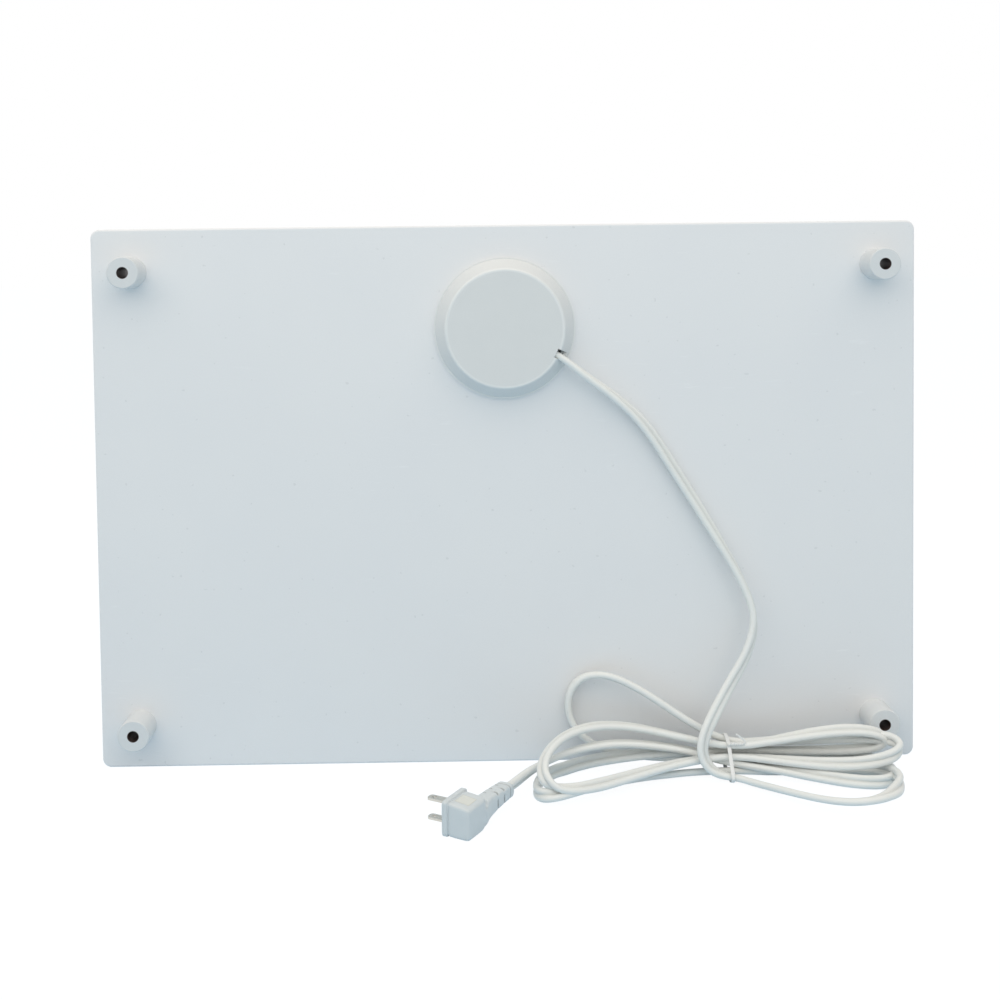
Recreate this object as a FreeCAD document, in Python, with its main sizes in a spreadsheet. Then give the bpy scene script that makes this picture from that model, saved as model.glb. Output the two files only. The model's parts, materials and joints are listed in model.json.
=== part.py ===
import FreeCAD, Part
import math
import os
import types

import Sketcher

# Ceramic panel heater that stands on its bottom edge, seen from the rear: two bonded boards with a
# heating wire between them, four wall standoffs, a round junction box and a tied mains cord.
# The rear view has x to the right, y up and z out of the rear face towards the viewer.

Vector = FreeCAD.Vector

SIZES = {
    # boards
    "panel_width": 600.0,
    "panel_height": 396.0,
    "rear_board_thickness": 6.0,
    "front_board_thickness": 6.0,
    "corner_radius": 6.5,
    "edge_radius": 1.6,
    # wall standoffs
    "standoff_inset_x": 29.0,
    "standoff_inset_y": 31.5,
    "standoff_diameter": 22.6,
    "standoff_length": 24.0,
    "standoff_edge_radius": 0.8,
    "anchor_hole_diameter": 8.0,
    # heating wire
    "wire_diameter": 2.2,
    "wire_clearance": 0.2,
    "wire_half_span": 250.0,
    "wire_pitch": 33.0,
    "wire_end_offset_x": 16.0,
    "wire_end_offset_y": 19.0,
    "wire_bend_radius": 4.5,
    "wire_end_rise": 4.0,
    # junction box
    "hub_x": 0.0,
    "hub_height": 321.0,
    "hub_depth": 15.0,
    "base_diameter": 103.0,
    "base_thickness": 2.5,
    "base_rim_height": 3.5,
    "base_rim_wall": 1.6,
    "cap_foot_diameter": 101.0,
    "cap_face_diameter": 86.0,
    "cap_wall": 2.0,
    "cap_edge_radius": 1.8,
    "fit_clearance": 0.3,
    "exit_angle": -26.0,
    "exit_notch_width": 6.8,
    "exit_notch_depth": 9.2,
    "overrun": 2.0,
    # base screws
    "base_screw_circle_radius": 38.0,
    "base_screw_shank_diameter": 3.0,
    "base_screw_head_diameter": 6.0,
    "base_screw_head_height": 2.0,
    "base_screw_bite": 4.0,
    "screw_clearance": 0.15,
    # terminal block
    "block_x": 4.0,
    "block_y": -4.0,
    "block_length": 16.0,
    "block_width": 22.0,
    "block_height": 8.5,
    "pole_spacing": 11.0,
    "pole_height": 4.0,
    "terminal_tube_diameter": 5.0,
    "terminal_bore_diameter": 3.0,
    "terminal_tube_length": 14.0,
    "terminal_screw_spacing": 8.0,
    "terminal_screw_diameter": 2.4,
    "block_screw_diameter": 3.0,
    "block_screw_head_diameter": 5.0,
    "block_screw_head_height": 1.4,
    "core_diameter": 2.2,
    # thermal cut-out
    "cutout_x": -24.0,
    "cutout_y": -4.0,
    "cutout_cup_diameter": 16.0,
    "cutout_body_diameter": 13.6,
    "cutout_body_height": 5.0,
    "tab_width": 4.8,
    "tab_thickness": 0.8,
    "tab_start": 2.0,
    "tab_length": 12.0,
    "receptacle_width": 6.4,
    "receptacle_length": 9.0,
    "receptacle_height": 2.6,
    "receptacle_reach": 17.0,
    "clip_ring_diameter": 19.0,
    "clip_thickness": 0.8,
    "clip_screw_offset": 13.0,
    "clip_ear_width": 7.0,
    "clip_screw_diameter": 2.6,
    "clip_screw_head_diameter": 4.6,
    "clip_screw_head_height": 1.4,
    # cord clamp
    "clamp_radius": 25.0,
    "clamp_length": 7.0,
    "clamp_width": 23.0,
    "clamp_bar_thickness": 2.0,
    "clamp_slot_width": 6.4,
    "clamp_screw_offset": 7.6,
    "clamp_screw_diameter": 2.6,
    "clamp_screw_head_diameter": 4.6,
    "clamp_screw_head_height": 1.6,
    # cord and its hank
    "cord_diameter": 5.6,
    "tie_x": 157.0,
    "hank_front_column": 29.0,
    "hank_pitch": 6.8,
    "hank_lowest_row": 4.2,
    "tie_width": 3.0,
    "tie_thickness": 0.8,
    "tie_gap": 0.4,
    "tie_knot_length": 4.5,
    "tie_end_length": 14.0,
    "tie_end_width": 1.6,
    "tie_end_angle": 30.0,
    # plug
    "plug_corner_x": -47.9,
    "plug_corner_out": 124.7,
    "plug_turn": 60.0,
    "plug_plate_width": 26.5,
    "plug_plate_height": 23.0,
    "plug_plate_thickness": 4.0,
    "plug_step": 1.0,
    "plug_body_depth": 15.0,
    "plug_corner_radius": 2.6,
    "plug_back_radius": 4.0,
    "neck_start_inset": 3.0,
    "neck_reach": 69.0,
    "neck_base_out": 10.6,
    "neck_base_width": 12.0,
    "neck_base_height": 13.5,
    "neck_tip_out": 14.5,
    "neck_tip_width": 11.6,
    "neck_tip_height": 8.0,
    "neck_corner": 2.2,
    "window_length": 15.0,
    "window_width": 6.0,
    "window_depth": 0.6,
    "blade_spacing": 12.7,
    "blade_width": 6.35,
    "blade_thickness": 1.5,
    "blade_length": 17.5,
    "blade_embed": 9.0,
    "blade_tip_radius": 2.2,
    "blade_hole_diameter": 3.2,
    "blade_hole_from_tip": 4.2,
    "blade_clearance": 0.1,
}

WIRE_ROWS = 9
# Share of the shorter run that an arc of a cord takes up
ARC_SHARE = 0.45
BASE_SCREW_ANGLES = (60.0, 180.0, 300.0)

# Routes of the cord's free stretches: x, out of the rear face, height
LEAD_ROUTE = [
    (17.1, 5.7, 312.7), (29.2, 6.0, 306.8), (41.0, 10.6, 301.0), (59.0, 11.8, 285.5), (80.5, 9.8, 269.8),
    (102.0, 8.2, 249.5), (121.5, 8.0, 218.3), (146.0, 9.5, 178.5), (169.5, 12.0, 138.0), (180.2, 15.2, 110.5),
    (174.0, 20.2, 86.5), (158.0, 27.0, 64.0), (141.5, 36.0, 42.0), (134.6, 40.8, 23.5), (134.2, 41.4, 12.0),
    (137.0, 38.6, 5.0), (143.4, 29.0, 4.2), (151.4, 29.0, 4.2)]
TAIL_ROUTE = [
    (151.4, 29.0, 17.8), (138.0, 29.0, 17.8), (112.0, 30.2, 16.6), (85.0, 32.0, 14.8), (60.0, 35.0, 13.6),
    (38.0, 41.5, 14.2), (21.0, 49.6, 15.6), (5.16, 61.8, 11.5), (-0.82, 72.15, 11.5)]

# The hank's half loops in the order in which the cord runs: side, the slots in the tie that it leaves and
# returns to (f front, b back column, rows from the bottom), reach, and how far its leaving and its
# returning strand belly out (out of the rear face, up)
HANK_LOOPS = [
    (1, "f1", "b1", 117.0, (46.0, -0.5), (-12.0, -0.5)),
    (-1, "b1", "b3", 139.0, (47.0, -1.0), (-8.0, -3.0)),
    (1, "b3", "f4", 92.0, (3.0, 3.6), (6.0, 1.0)),
    (-1, "f4", "f2", 139.0, (-9.0, 6.0), (27.0, 1.0)),
    (1, "f2", "b2", 108.0, (28.0, -0.5), (-6.0, -0.5)),
    (-1, "b2", "b4", 117.0, (-9.2, -7.0), (-9.2, 39.0)),
    (1, "b4", "f3", 118.0, (8.0, 6.0), (25.0, 4.5))]


# Sizes that keep their sheet expression
def text_of(item):
    return item.text if isinstance(item, Size) else repr(item)


def value_of(item):
    return item.value if isinstance(item, Size) else item


class Size:
    """A number together with the sheet expression that gives it."""

    def __init__(self, text, value):
        self.text = text
        self.value = value

    def __add__(self, other):
        return Size(f"({self.text} + {text_of(other)})", self.value + value_of(other))

    def __radd__(self, other):
        return self + other

    def __sub__(self, other):
        return Size(f"({self.text} - {text_of(other)})", self.value - value_of(other))

    def __rsub__(self, other):
        return Size(f"({text_of(other)} - {self.text})", value_of(other) - self.value)

    def __mul__(self, other):
        return Size(f"({self.text} * {text_of(other)})", self.value * value_of(other))

    def __rmul__(self, other):
        return self * other

    def __truediv__(self, other):
        return Size(f"({self.text} / {text_of(other)})", self.value / value_of(other))

    def __neg__(self):
        return Size(f"(0 - {self.text})", -self.value)


def cosine(angle):
    return Size(f"cos({text_of(angle)} * 1 deg)", math.cos(math.radians(value_of(angle))))


def sine(angle):
    return Size(f"sin({text_of(angle)} * 1 deg)", math.sin(math.radians(value_of(angle))))


doc = FreeCAD.newDocument("PanelHeater")
sheet = doc.addObject("Spreadsheet::Sheet", "Sizes")
for row, (name, number) in enumerate(SIZES.items(), start=1):
    sheet.set(f"A{row}", name)
    sheet.set(f"B{row}", str(number))
    sheet.setAlias(f"B{row}", name)
doc.recompute()
s = types.SimpleNamespace(**{name: Size(f"Sizes.{name}", number) for name, number in SIZES.items()})

boards_depth = s.rear_board_thickness + s.front_board_thickness
rear_face_y = (s.standoff_length + boards_depth) / 2 - boards_depth
REAR_VIEW = FreeCAD.Rotation(Vector(1, 0, 0), 90)
nodes = []


# Placing and binding
def bind(item, **sizes):
    """Binds properties of an item to sizes; a double underscore in a keyword stands for a dot."""
    for key, size in sizes.items():
        item.setExpression(key.replace("__", "."), text_of(size))


def put(item, x, y, z, turn=None):
    """Places an item's own origin at x, y, z of the rear view, turned about its own axes first."""
    rotation = REAR_VIEW if turn is None else REAR_VIEW * turn
    item.Placement = FreeCAD.Placement(Vector(), rotation)
    bind(item, Placement__Base__x=x, Placement__Base__y=rear_face_y - z, Placement__Base__z=y)
    return item


def about_z(angle):
    return FreeCAD.Rotation(Vector(0, 0, 1), value_of(angle))


ALONG_X = FreeCAD.Rotation(Vector(0, 1, 0), 90)


def keep(item, name):
    item.Label = name
    nodes.append(item)
    return item


# Part primitives and booleans
def box(name, length, width, height, at, turn=None):
    item = doc.addObject("Part::Box", name)
    bind(item, Length=length, Width=width, Height=height)
    return put(item, *at, turn)


def cylinder(name, diameter, height, at, turn=None):
    item = doc.addObject("Part::Cylinder", name)
    bind(item, Radius=diameter / 2, Height=height)
    return put(item, *at, turn)


def fuse(name, items):
    item = doc.addObject("Part::MultiFuse", name)
    item.Shapes = items
    return item


def cut(name, base, tools):
    item = doc.addObject("Part::Cut", name)
    item.Base = base
    item.Tool = tools[0] if len(tools) == 1 else fuse(name + "_tools", tools)
    return item


def group(name, items):
    item = doc.addObject("Part::Compound", name)
    item.Links = items
    return item


def screw(name, x, y, seat, head_diameter, head_height, shank_diameter, reach):
    """Pan head on its seat, with a shank that reaches down from it."""
    head = cylinder(name + "_head", head_diameter, head_height, (x, y, seat))
    shank = cylinder(name + "_shank", shank_diameter, reach, (x, y, seat - reach))
    return fuse(name, [head, shank])


# Sketches and bodies
def make_body(name):
    return doc.addObject("PartDesign::Body", name)


def sketch_on(body, role, name, offset=None):
    sketch = body.newObject("Sketcher::SketchObject", name)
    plane = next(item for item in body.Origin.OriginFeatures if item.Role == role)
    sketch.AttachmentSupport = [(plane, "")]
    sketch.MapMode = "FlatFace"
    if offset is not None:
        bind(sketch, AttachmentOffset__Base__z=offset)
    return sketch


def hold(sketch, geometry, point, x, y):
    """Holds a point of a sketch at two sizes from the sketch's origin."""
    for kind, size, axis in (("DistanceX", x, -2), ("DistanceY", y, -1)):
        if isinstance(size, Size):
            index = sketch.addConstraint(Sketcher.Constraint(kind, -1, 1, geometry, point, size.value))
            sketch.setExpression(f"Constraints[{index}]", size.text)
        else:
            sketch.addConstraint(Sketcher.Constraint("PointOnObject", geometry, point, axis))


def outline(sketch, points):
    """Closed outline of straight lines through points given in sizes or zero."""
    corners = [Vector(value_of(x), value_of(y), 0) for x, y in points]
    count = len(points)
    first = sketch.GeometryCount
    for index in range(count):
        sketch.addGeometry(Part.LineSegment(corners[index], corners[(index + 1) % count]))
    for index in range(count):
        after = first + (index + 1) % count
        sketch.addConstraint(Sketcher.Constraint("Coincident", first + index, 2, after, 1))
    for index, (x, y) in enumerate(points):
        hold(sketch, first + index, 1, x, y)


def circle(sketch, x, y, diameter):
    centre = Vector(value_of(x), value_of(y), 0)
    geometry = sketch.addGeometry(Part.Circle(centre, Vector(0, 0, 1), value_of(diameter) / 2))
    index = sketch.addConstraint(Sketcher.Constraint("Radius", geometry, value_of(diameter) / 2))
    sketch.setExpression(f"Constraints[{index}]", (diameter / 2).text)
    hold(sketch, geometry, 3, x, y)


def pad(body, sketch, length, name):
    feature = body.newObject("PartDesign::Pad", name)
    feature.Profile = sketch
    bind(feature, Length=length)
    return feature


def pocket(body, sketch, length, name, upwards):
    """Cuts a sketch along its normal when upwards, otherwise against it; the volume has to fall."""
    doc.recompute()
    before = body.Shape.Volume
    feature = body.newObject("PartDesign::Pocket", name)
    feature.Profile = sketch
    feature.Reversed = upwards
    bind(feature, Length=length)
    doc.recompute()
    if body.Shape.Volume >= before:
        raise RuntimeError(f"{name} cuts nothing")
    return feature


def revolve(body, sketch, name):
    feature = body.newObject("PartDesign::Revolution", name)
    feature.Profile = sketch
    feature.ReferenceAxis = (sketch, ["V_Axis"])
    feature.Angle = 360
    return feature


def fillet(body, radius, name, chosen):
    """Rounds the edges of the body's tip that the test chooses by their middle point and their tangent."""
    doc.recompute()
    tip = body.Tip
    names = []
    for index, edge in enumerate(tip.Shape.Edges, start=1):
        if edge.Degenerated:
            continue
        middle = edge.valueAt((edge.FirstParameter + edge.LastParameter) / 2)
        tangent = edge.tangentAt((edge.FirstParameter + edge.LastParameter) / 2)
        if chosen(middle, tangent, edge):
            names.append(f"Edge{index}")
    feature = body.newObject("PartDesign::Fillet", name)
    feature.Base = (tip, names)
    bind(feature, Radius=radius)
    doc.recompute()
    return feature


NEAR = 1e-3


def near(value, size):
    return abs(value - value_of(size)) < NEAR


# Tubes on straight runs and arcs
def straight(start, end):
    return Part.LineSegment(start, end).toShape()


def rounded_path(points):
    """Straight runs joined by tangent arcs as large as the runs allow, and the radii of those arcs."""
    edges = []
    radii = []
    place = points[0]
    for before, corner, after in zip(points, points[1:], points[2:]):
        first = before - corner
        second = after - corner
        half_turn = (math.pi - first.getAngle(second)) / 2
        trim = ARC_SHARE * min(first.Length, second.Length)
        radius = trim / math.tan(half_turn)
        to_before = Vector(first).normalize()
        to_after = Vector(second).normalize()
        arc_start = corner + to_before * trim
        arc_end = corner + to_after * trim
        inwards = (to_before + to_after).normalize()
        middle = corner + inwards * (radius / math.cos(half_turn) - radius)
        edges.append(straight(place, arc_start))
        edges.append(Part.Arc(arc_start, middle, arc_end).toShape())
        radii.append(radius)
        place = arc_end
    edges.append(straight(place, points[-1]))
    return edges, radii


def tube(edges, diameter):
    """Solid tube of a diameter along edges that follow each other tangentially."""
    path = Part.Wire(edges)
    start = edges[0].valueAt(edges[0].FirstParameter)
    heading = edges[0].tangentAt(edges[0].FirstParameter)
    ring = Part.Wire([Part.Circle(start, heading, diameter / 2).toShape()])
    return path.makePipeShell([ring], True, False)


def tube_node(name, edges, diameter):
    solid = tube(edges, diameter)
    item = doc.addObject("Part::Feature", name)
    item.Shape = solid
    item.Placement = FreeCAD.Placement(Vector(0, rear_face_y.value, 0), REAR_VIEW)
    length = sum(edge.Length for edge in edges)
    share = solid.Volume / (math.pi * diameter ** 2 / 4 * length)
    print(f"{name}: length {length:.1f} mm, volume {share:.4f} of section times length")
    return keep(item, name)


def cord_node(name, route, diameter):
    """Tube along a route of points x, out, height."""
    edges, radii = rounded_path([Vector(x, height, out) for x, out, height in route])
    print(f"{name}: radii", " ".join(f"{radius:.1f}" for radius in radii))
    return tube_node(name, edges, diameter)


# Boards
half_width = s.panel_width / 2
hub_y = s.hub_height
screw_circle = s.base_screw_circle_radius
anchor_x = half_width - s.standoff_inset_x
anchor_rows = (s.standoff_inset_y, s.panel_height - s.standoff_inset_y)


def board_blank(name, thickness, outer_z):
    """Board with round corners and a soft outer edge; its sketch lies on the bond plane."""
    body = make_body(name)
    sketch = sketch_on(body, "XY_Plane", name + "_outline")
    outline(sketch, [(-half_width, 0), (half_width, 0), (half_width, s.panel_height),
                     (-half_width, s.panel_height)])
    pad(body, sketch, thickness, name + "_pad").Reversed = outer_z < 0
    fillet(body, s.corner_radius, name + "_corners", lambda middle, tangent, edge: abs(tangent.z) > 1 - NEAR)
    outer = value_of(thickness) * outer_z
    fillet(body, s.edge_radius, name + "_edges", lambda middle, tangent, edge: near(middle.z, outer))
    holes = sketch_on(body, "XY_Plane", name + "_hole_places")
    for x in (-anchor_x, anchor_x):
        for y in anchor_rows:
            circle(holes, x, y, s.anchor_hole_diameter)
    pocket(body, holes, thickness + s.overrun, name + "_holes", outer_z > 0)
    return put(body, 0, 0, -s.rear_board_thickness)


rear_blank = board_blank("rear_board_blank", s.rear_board_thickness, 1)
pilots = sketch_on(rear_blank, "XY_Plane", "pilot_places", s.rear_board_thickness)
screw_places = []
for angle in BASE_SCREW_ANGLES:
    screw_places.append((s.hub_x + screw_circle * cosine(angle), hub_y + screw_circle * sine(angle)))
for x, y in screw_places:
    circle(pilots, x, y, s.base_screw_shank_diameter + 2 * s.screw_clearance)
pocket(rear_blank, pilots, s.base_screw_bite + s.screw_clearance, "pilot_holes", False)
front_blank = board_blank("front_board_blank", s.front_board_thickness, -1)


def element_edges():
    """Path of the heating wire on the bond plane: it comes down from the junction box, runs back and
    forth down the left half, crosses at the bottom and climbs the right half to the box again."""
    bond = -s.rear_board_thickness.value
    inner = s.wire_end_offset_x.value
    outer = s.wire_half_span.value
    bend = s.wire_bend_radius.value
    pitch = s.wire_pitch.value
    turn = pitch / 2
    top = (hub_y + s.wire_end_offset_y).value
    slant = bend * math.cos(math.pi / 4)
    rise = Vector(-inner, top, s.wire_end_rise.value)
    left = [straight(rise, Vector(-inner, top, bond + bend))]
    knee = Vector(-inner - bend + slant, top, bond + bend - slant)
    foot = Vector(-inner - bend, top, bond)
    left.append(Part.Arc(Vector(-inner, top, bond + bend), knee, foot).toShape())
    place = foot
    for row in range(WIRE_ROWS):
        goes_left = row % 2 == 0
        height = top - row * pitch
        end = Vector(-outer + turn if goes_left else -inner - bend, height, bond)
        if row == WIRE_ROWS - 1:
            break
        left.append(straight(place, end))
        bulge = Vector(end.x - turn if goes_left else end.x + turn, height - turn, bond)
        after = Vector(end.x, height - pitch, bond)
        left.append(Part.Arc(end, bulge, after).toShape())
        place = after
    lowest = Vector(-outer + turn, place.y, bond)
    left.append(straight(place, lowest))
    bottom = place.y - pitch
    corner = Vector(lowest.x, bottom, bond)
    left.append(Part.Arc(lowest, Vector(-outer, place.y - turn, bond), corner).toShape())
    mirror = [edge.mirror(Vector(), Vector(1, 0, 0)) for edge in left]
    across = straight(corner, Vector(-lowest.x, bottom, bond))
    ends = Part.sortEdges(left + [across] + mirror)[0]
    return [edge.translate(Vector(s.hub_x.value, 0, 0)) or edge for edge in ends]


path_of_wire = element_edges()
tube_node("heating_wire", path_of_wire, s.wire_diameter.value)
grooves = []
for name in ("rear_board", "front_board"):
    groove = doc.addObject("Part::Feature", name + "_groove")
    groove.Shape = tube(path_of_wire, (s.wire_diameter + 2 * s.wire_clearance).value)
    groove.Placement = FreeCAD.Placement(Vector(0, rear_face_y.value, 0), REAR_VIEW)
    grooves.append(groove)
keep(cut("rear_board", rear_blank, grooves[:1]), "rear_board")
keep(cut("front_board", front_blank, grooves[1:]), "front_board")

# Standoffs
for side, x in (("left", -anchor_x), ("right", anchor_x)):
    for level, y in zip(("lower", "upper"), anchor_rows):
        name = f"standoff_{level}_{side}"
        body = make_body(name)
        sketch = sketch_on(body, "XZ_Plane", name + "_profile")
        inner = s.anchor_hole_diameter / 2
        outer = s.standoff_diameter / 2
        outline(sketch, [(inner, 0), (outer, 0), (outer, s.standoff_length), (inner, s.standoff_length)])
        revolve(body, sketch, name + "_turn")
        tip = s.standoff_length
        fillet(body, s.standoff_edge_radius, name + "_edge",
               lambda middle, tangent, edge: near(middle.z, tip) and near(edge.Curve.Radius, outer))
        keep(put(body, x, y, 0), name)

# Junction box base
lead_places = [(-s.wire_end_offset_x, s.wire_end_offset_y), (s.wire_end_offset_x, s.wire_end_offset_y)]
exit_cos = cosine(s.exit_angle)
exit_sin = sine(s.exit_angle)


def on_exit_line(along, across):
    """Place in the junction box, from its centre, measured along the cord's way out and across it."""
    return along * exit_cos - across * exit_sin, along * exit_sin + across * exit_cos


clamp_screw_places = [on_exit_line(s.clamp_radius, side * s.clamp_screw_offset) for side in (-1, 1)]
clip_screw_places = [(s.cutout_x, s.cutout_y + side * s.clip_screw_offset) for side in (-1, 1)]
cap_foot = s.cap_foot_diameter / 2
cap_face = s.cap_face_diameter / 2
cap_inner_foot = cap_foot - s.cap_wall
cap_inner_face = cap_face - s.cap_wall
cap_height = s.hub_depth - s.base_thickness
cap_inner_height = cap_height - s.cap_wall
cap_taper = (cap_inner_foot - cap_inner_face) / cap_inner_height
rim_radius = cap_inner_foot - cap_taper * s.base_rim_height - s.fit_clearance

base = make_body("junction_base")
disc = sketch_on(base, "XY_Plane", "base_disc")
circle(disc, 0, 0, s.base_diameter)
pad(base, disc, s.base_thickness, "base_plate")
rim = sketch_on(base, "XY_Plane", "base_rim", s.base_thickness)
circle(rim, 0, 0, 2 * rim_radius)
circle(rim, 0, 0, 2 * (rim_radius - s.base_rim_wall))
pad(base, rim, s.base_rim_height, "base_rim_pad")
openings = sketch_on(base, "XY_Plane", "base_openings")
circle(openings, s.cutout_x, s.cutout_y, s.cutout_cup_diameter + 2 * s.fit_clearance)
for x, y in lead_places:
    circle(openings, x, y, s.wire_diameter + 4 * s.fit_clearance)
for angle in BASE_SCREW_ANGLES:
    circle(openings, screw_circle * cosine(angle), screw_circle * sine(angle),
           s.base_screw_shank_diameter + 2 * s.screw_clearance)
for x, y in clamp_screw_places:
    circle(openings, x, y, s.clamp_screw_diameter + 2 * s.screw_clearance)
for x, y in clip_screw_places:
    circle(openings, x, y, s.clip_screw_diameter + 2 * s.screw_clearance)
circle(openings, s.block_x, s.block_y, s.block_screw_diameter + 2 * s.screw_clearance)
pocket(base, openings, s.base_thickness + s.overrun, "base_holes", True)
keep(put(base, s.hub_x, hub_y, 0), "junction_base")
base_screws = []
for index, (x, y) in enumerate(screw_places):
    base_screws.append(screw(f"base_screw_{index}", x, y, s.base_thickness, s.base_screw_head_diameter,
                             s.base_screw_head_height, s.base_screw_shank_diameter,
                             s.base_thickness + s.base_screw_bite))
keep(group("base_screws", base_screws), "base_screws")

# Junction box cap: a shallow cone with a notch in its front edge for the cord
cap = make_body("junction_cap")
profile = sketch_on(cap, "XZ_Plane", "cap_profile")
outline(profile, [(0, s.hub_depth), (0, s.hub_depth - s.cap_wall), (cap_inner_face, s.hub_depth - s.cap_wall),
                  (cap_inner_foot, s.base_thickness), (cap_foot, s.base_thickness), (cap_face, s.hub_depth)])
revolve(cap, profile, "cap_turn")
fillet(cap, s.cap_edge_radius, "cap_edge",
       lambda middle, tangent, edge: near(middle.z, s.hub_depth) and middle.Length > cap_inner_face.value)
notch = sketch_on(cap, "XY_Plane", "notch_outline", s.hub_depth)
notch_start = cap_inner_face - s.fit_clearance
notch_half = s.exit_notch_width / 2
notch_end = s.base_diameter / 2 + s.overrun
outline(notch, [(notch_start, -notch_half), (notch_end, -notch_half), (notch_end, notch_half),
                (notch_start, notch_half)])
pocket(cap, notch, s.exit_notch_depth, "exit_notch", False)
keep(put(cap, s.hub_x, hub_y, 0, about_z(s.exit_angle)), "junction_cap")

# Terminal block with two poles
floor_z = s.base_thickness
block_left = s.hub_x + s.block_x - s.block_length / 2
block_centre_y = hub_y + s.block_y
block_top = floor_z + s.block_height
pole_z = floor_z + s.pole_height
poles = [block_centre_y - s.pole_spacing / 2, block_centre_y + s.pole_spacing / 2]
screw_columns = [s.hub_x + s.block_x + side * s.terminal_screw_spacing / 2 for side in (-1, 1)]
tube_left = s.hub_x + s.block_x - s.terminal_tube_length / 2
block_at = (block_left, block_centre_y - s.block_width / 2, floor_z)
block_blank = box("block_blank", s.block_length, s.block_width, s.block_height, block_at)
block_tools = [cylinder("block_screw_bore", s.block_screw_diameter + 2 * s.screw_clearance,
                        s.block_height + 2 * s.overrun,
                        (s.hub_x + s.block_x, block_centre_y, floor_z - s.overrun))]
terminal_tubes = []
terminal_screws = []
for index, y in enumerate(poles):
    seat = s.terminal_tube_diameter + 2 * s.screw_clearance
    block_tools.append(cylinder(f"pole_bore_{index}", seat, s.block_length + 2 * s.overrun,
                                (block_left - s.overrun, y, pole_z), ALONG_X))
    tools = [cylinder(f"tube_bore_{index}", s.terminal_bore_diameter, s.terminal_tube_length + 2 * s.overrun,
                      (tube_left - s.overrun, y, pole_z), ALONG_X)]
    for column, x in enumerate(screw_columns):
        hole = s.terminal_screw_diameter + 2 * s.screw_clearance
        block_tools.append(cylinder(f"screw_bore_{index}_{column}", hole, s.block_height, (x, y, pole_z)))
        tools.append(cylinder(f"tube_hole_{index}_{column}", hole, s.terminal_tube_diameter, (x, y, pole_z)))
        start = pole_z + s.core_diameter / 2 + s.screw_clearance
        terminal_screws.append(cylinder(f"terminal_screw_{index}_{column}", s.terminal_screw_diameter,
                                        block_top - start, (x, y, start)))
    barrel = cylinder(f"tube_barrel_{index}", s.terminal_tube_diameter, s.terminal_tube_length,
                      (tube_left, y, pole_z), ALONG_X)
    terminal_tubes.append(cut(f"terminal_tube_{index}", barrel, tools))
keep(cut("terminal_block", block_blank, block_tools), "terminal_block")
keep(group("terminal_tubes", terminal_tubes), "terminal_tubes")
keep(group("terminal_screws", terminal_screws), "terminal_screws")
keep(screw("block_screw", s.hub_x + s.block_x, block_centre_y, block_top, s.block_screw_head_diameter,
           s.block_screw_head_height, s.block_screw_diameter, s.block_height + s.base_thickness),
     "block_screw")

# Thermal cut-out: a metal cup on the rear board under a moulded body with two tabs
cutout_at = (s.hub_x + s.cutout_x, hub_y + s.cutout_y)
cutout_top = floor_z + s.cutout_body_height
keep(cylinder("cutout_cup", s.cutout_cup_diameter, s.base_thickness, (*cutout_at, 0)), "cutout_cup")
keep(cylinder("cutout_body", s.cutout_body_diameter, s.cutout_body_height, (*cutout_at, floor_z)),
     "cutout_body")
tabs = []
receptacles = []
for name, side in (("lower", -1), ("upper", 1)):
    low = cutout_at[1] + s.tab_start if side > 0 else cutout_at[1] - s.tab_start - s.tab_length
    tab_at = (cutout_at[0] - s.tab_width / 2, low, cutout_top)
    tabs.append(box("tab_" + name, s.tab_width, s.tab_length, s.tab_thickness, tab_at))
    end = cutout_at[1] + side * s.receptacle_reach
    sleeve_low = end - s.receptacle_length if side > 0 else end
    sleeve_z = cutout_top + s.tab_thickness / 2 - s.receptacle_height / 2
    sleeve = box("sleeve_" + name, s.receptacle_width, s.receptacle_length, s.receptacle_height,
                 (cutout_at[0] - s.receptacle_width / 2, sleeve_low, sleeve_z))
    slot = box("slot_" + name, s.tab_width + 2 * s.screw_clearance, s.tab_length + 2 * s.screw_clearance,
               s.tab_thickness + 2 * s.screw_clearance,
               (tab_at[0] - s.screw_clearance, low - s.screw_clearance, cutout_top - s.screw_clearance))
    receptacles.append(cut("receptacle_" + name, sleeve, [slot]))
keep(group("cutout_tabs", tabs), "cutout_tabs")
keep(group("tab_receptacles", receptacles), "tab_receptacles")
clip_blank = fuse("clip_blank", [
    cylinder("clip_ring", s.clip_ring_diameter, s.clip_thickness, (*cutout_at, floor_z)),
    box("clip_strap", s.clip_ear_width, 2 * s.clip_screw_offset + s.clip_ear_width, s.clip_thickness,
        (cutout_at[0] - s.clip_ear_width / 2,
         cutout_at[1] - s.clip_screw_offset - s.clip_ear_width / 2, floor_z))])
clip_tools = [cylinder("clip_window", s.cutout_body_diameter + 2 * s.screw_clearance,
                       s.clip_thickness + 2 * s.overrun, (*cutout_at, floor_z - s.overrun))]
clip_screws = []
for index, (x, y) in enumerate(clip_screw_places):
    place = (s.hub_x + x, hub_y + y)
    clip_tools.append(cylinder(f"clip_hole_{index}", s.clip_screw_diameter + 2 * s.screw_clearance,
                               s.clip_thickness + 2 * s.overrun, (*place, floor_z - s.overrun)))
    clip_screws.append(screw(f"clip_screw_{index}", *place, floor_z + s.clip_thickness,
                             s.clip_screw_head_diameter, s.clip_screw_head_height, s.clip_screw_diameter,
                             s.clip_thickness + s.base_thickness))
keep(cut("cutout_clip", clip_blank, clip_tools), "cutout_clip")
keep(group("clip_screws", clip_screws), "clip_screws")

# Cord clamp on the cord's way out
clamp_top = floor_z + s.cord_diameter + 3 * s.fit_clearance + s.clamp_bar_thickness
clamp_height = clamp_top - floor_z
clamp_turn = about_z(s.exit_angle)


def clamp_corner(along, across):
    x, y = on_exit_line(along, across)
    return s.hub_x + x, hub_y + y


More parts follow.
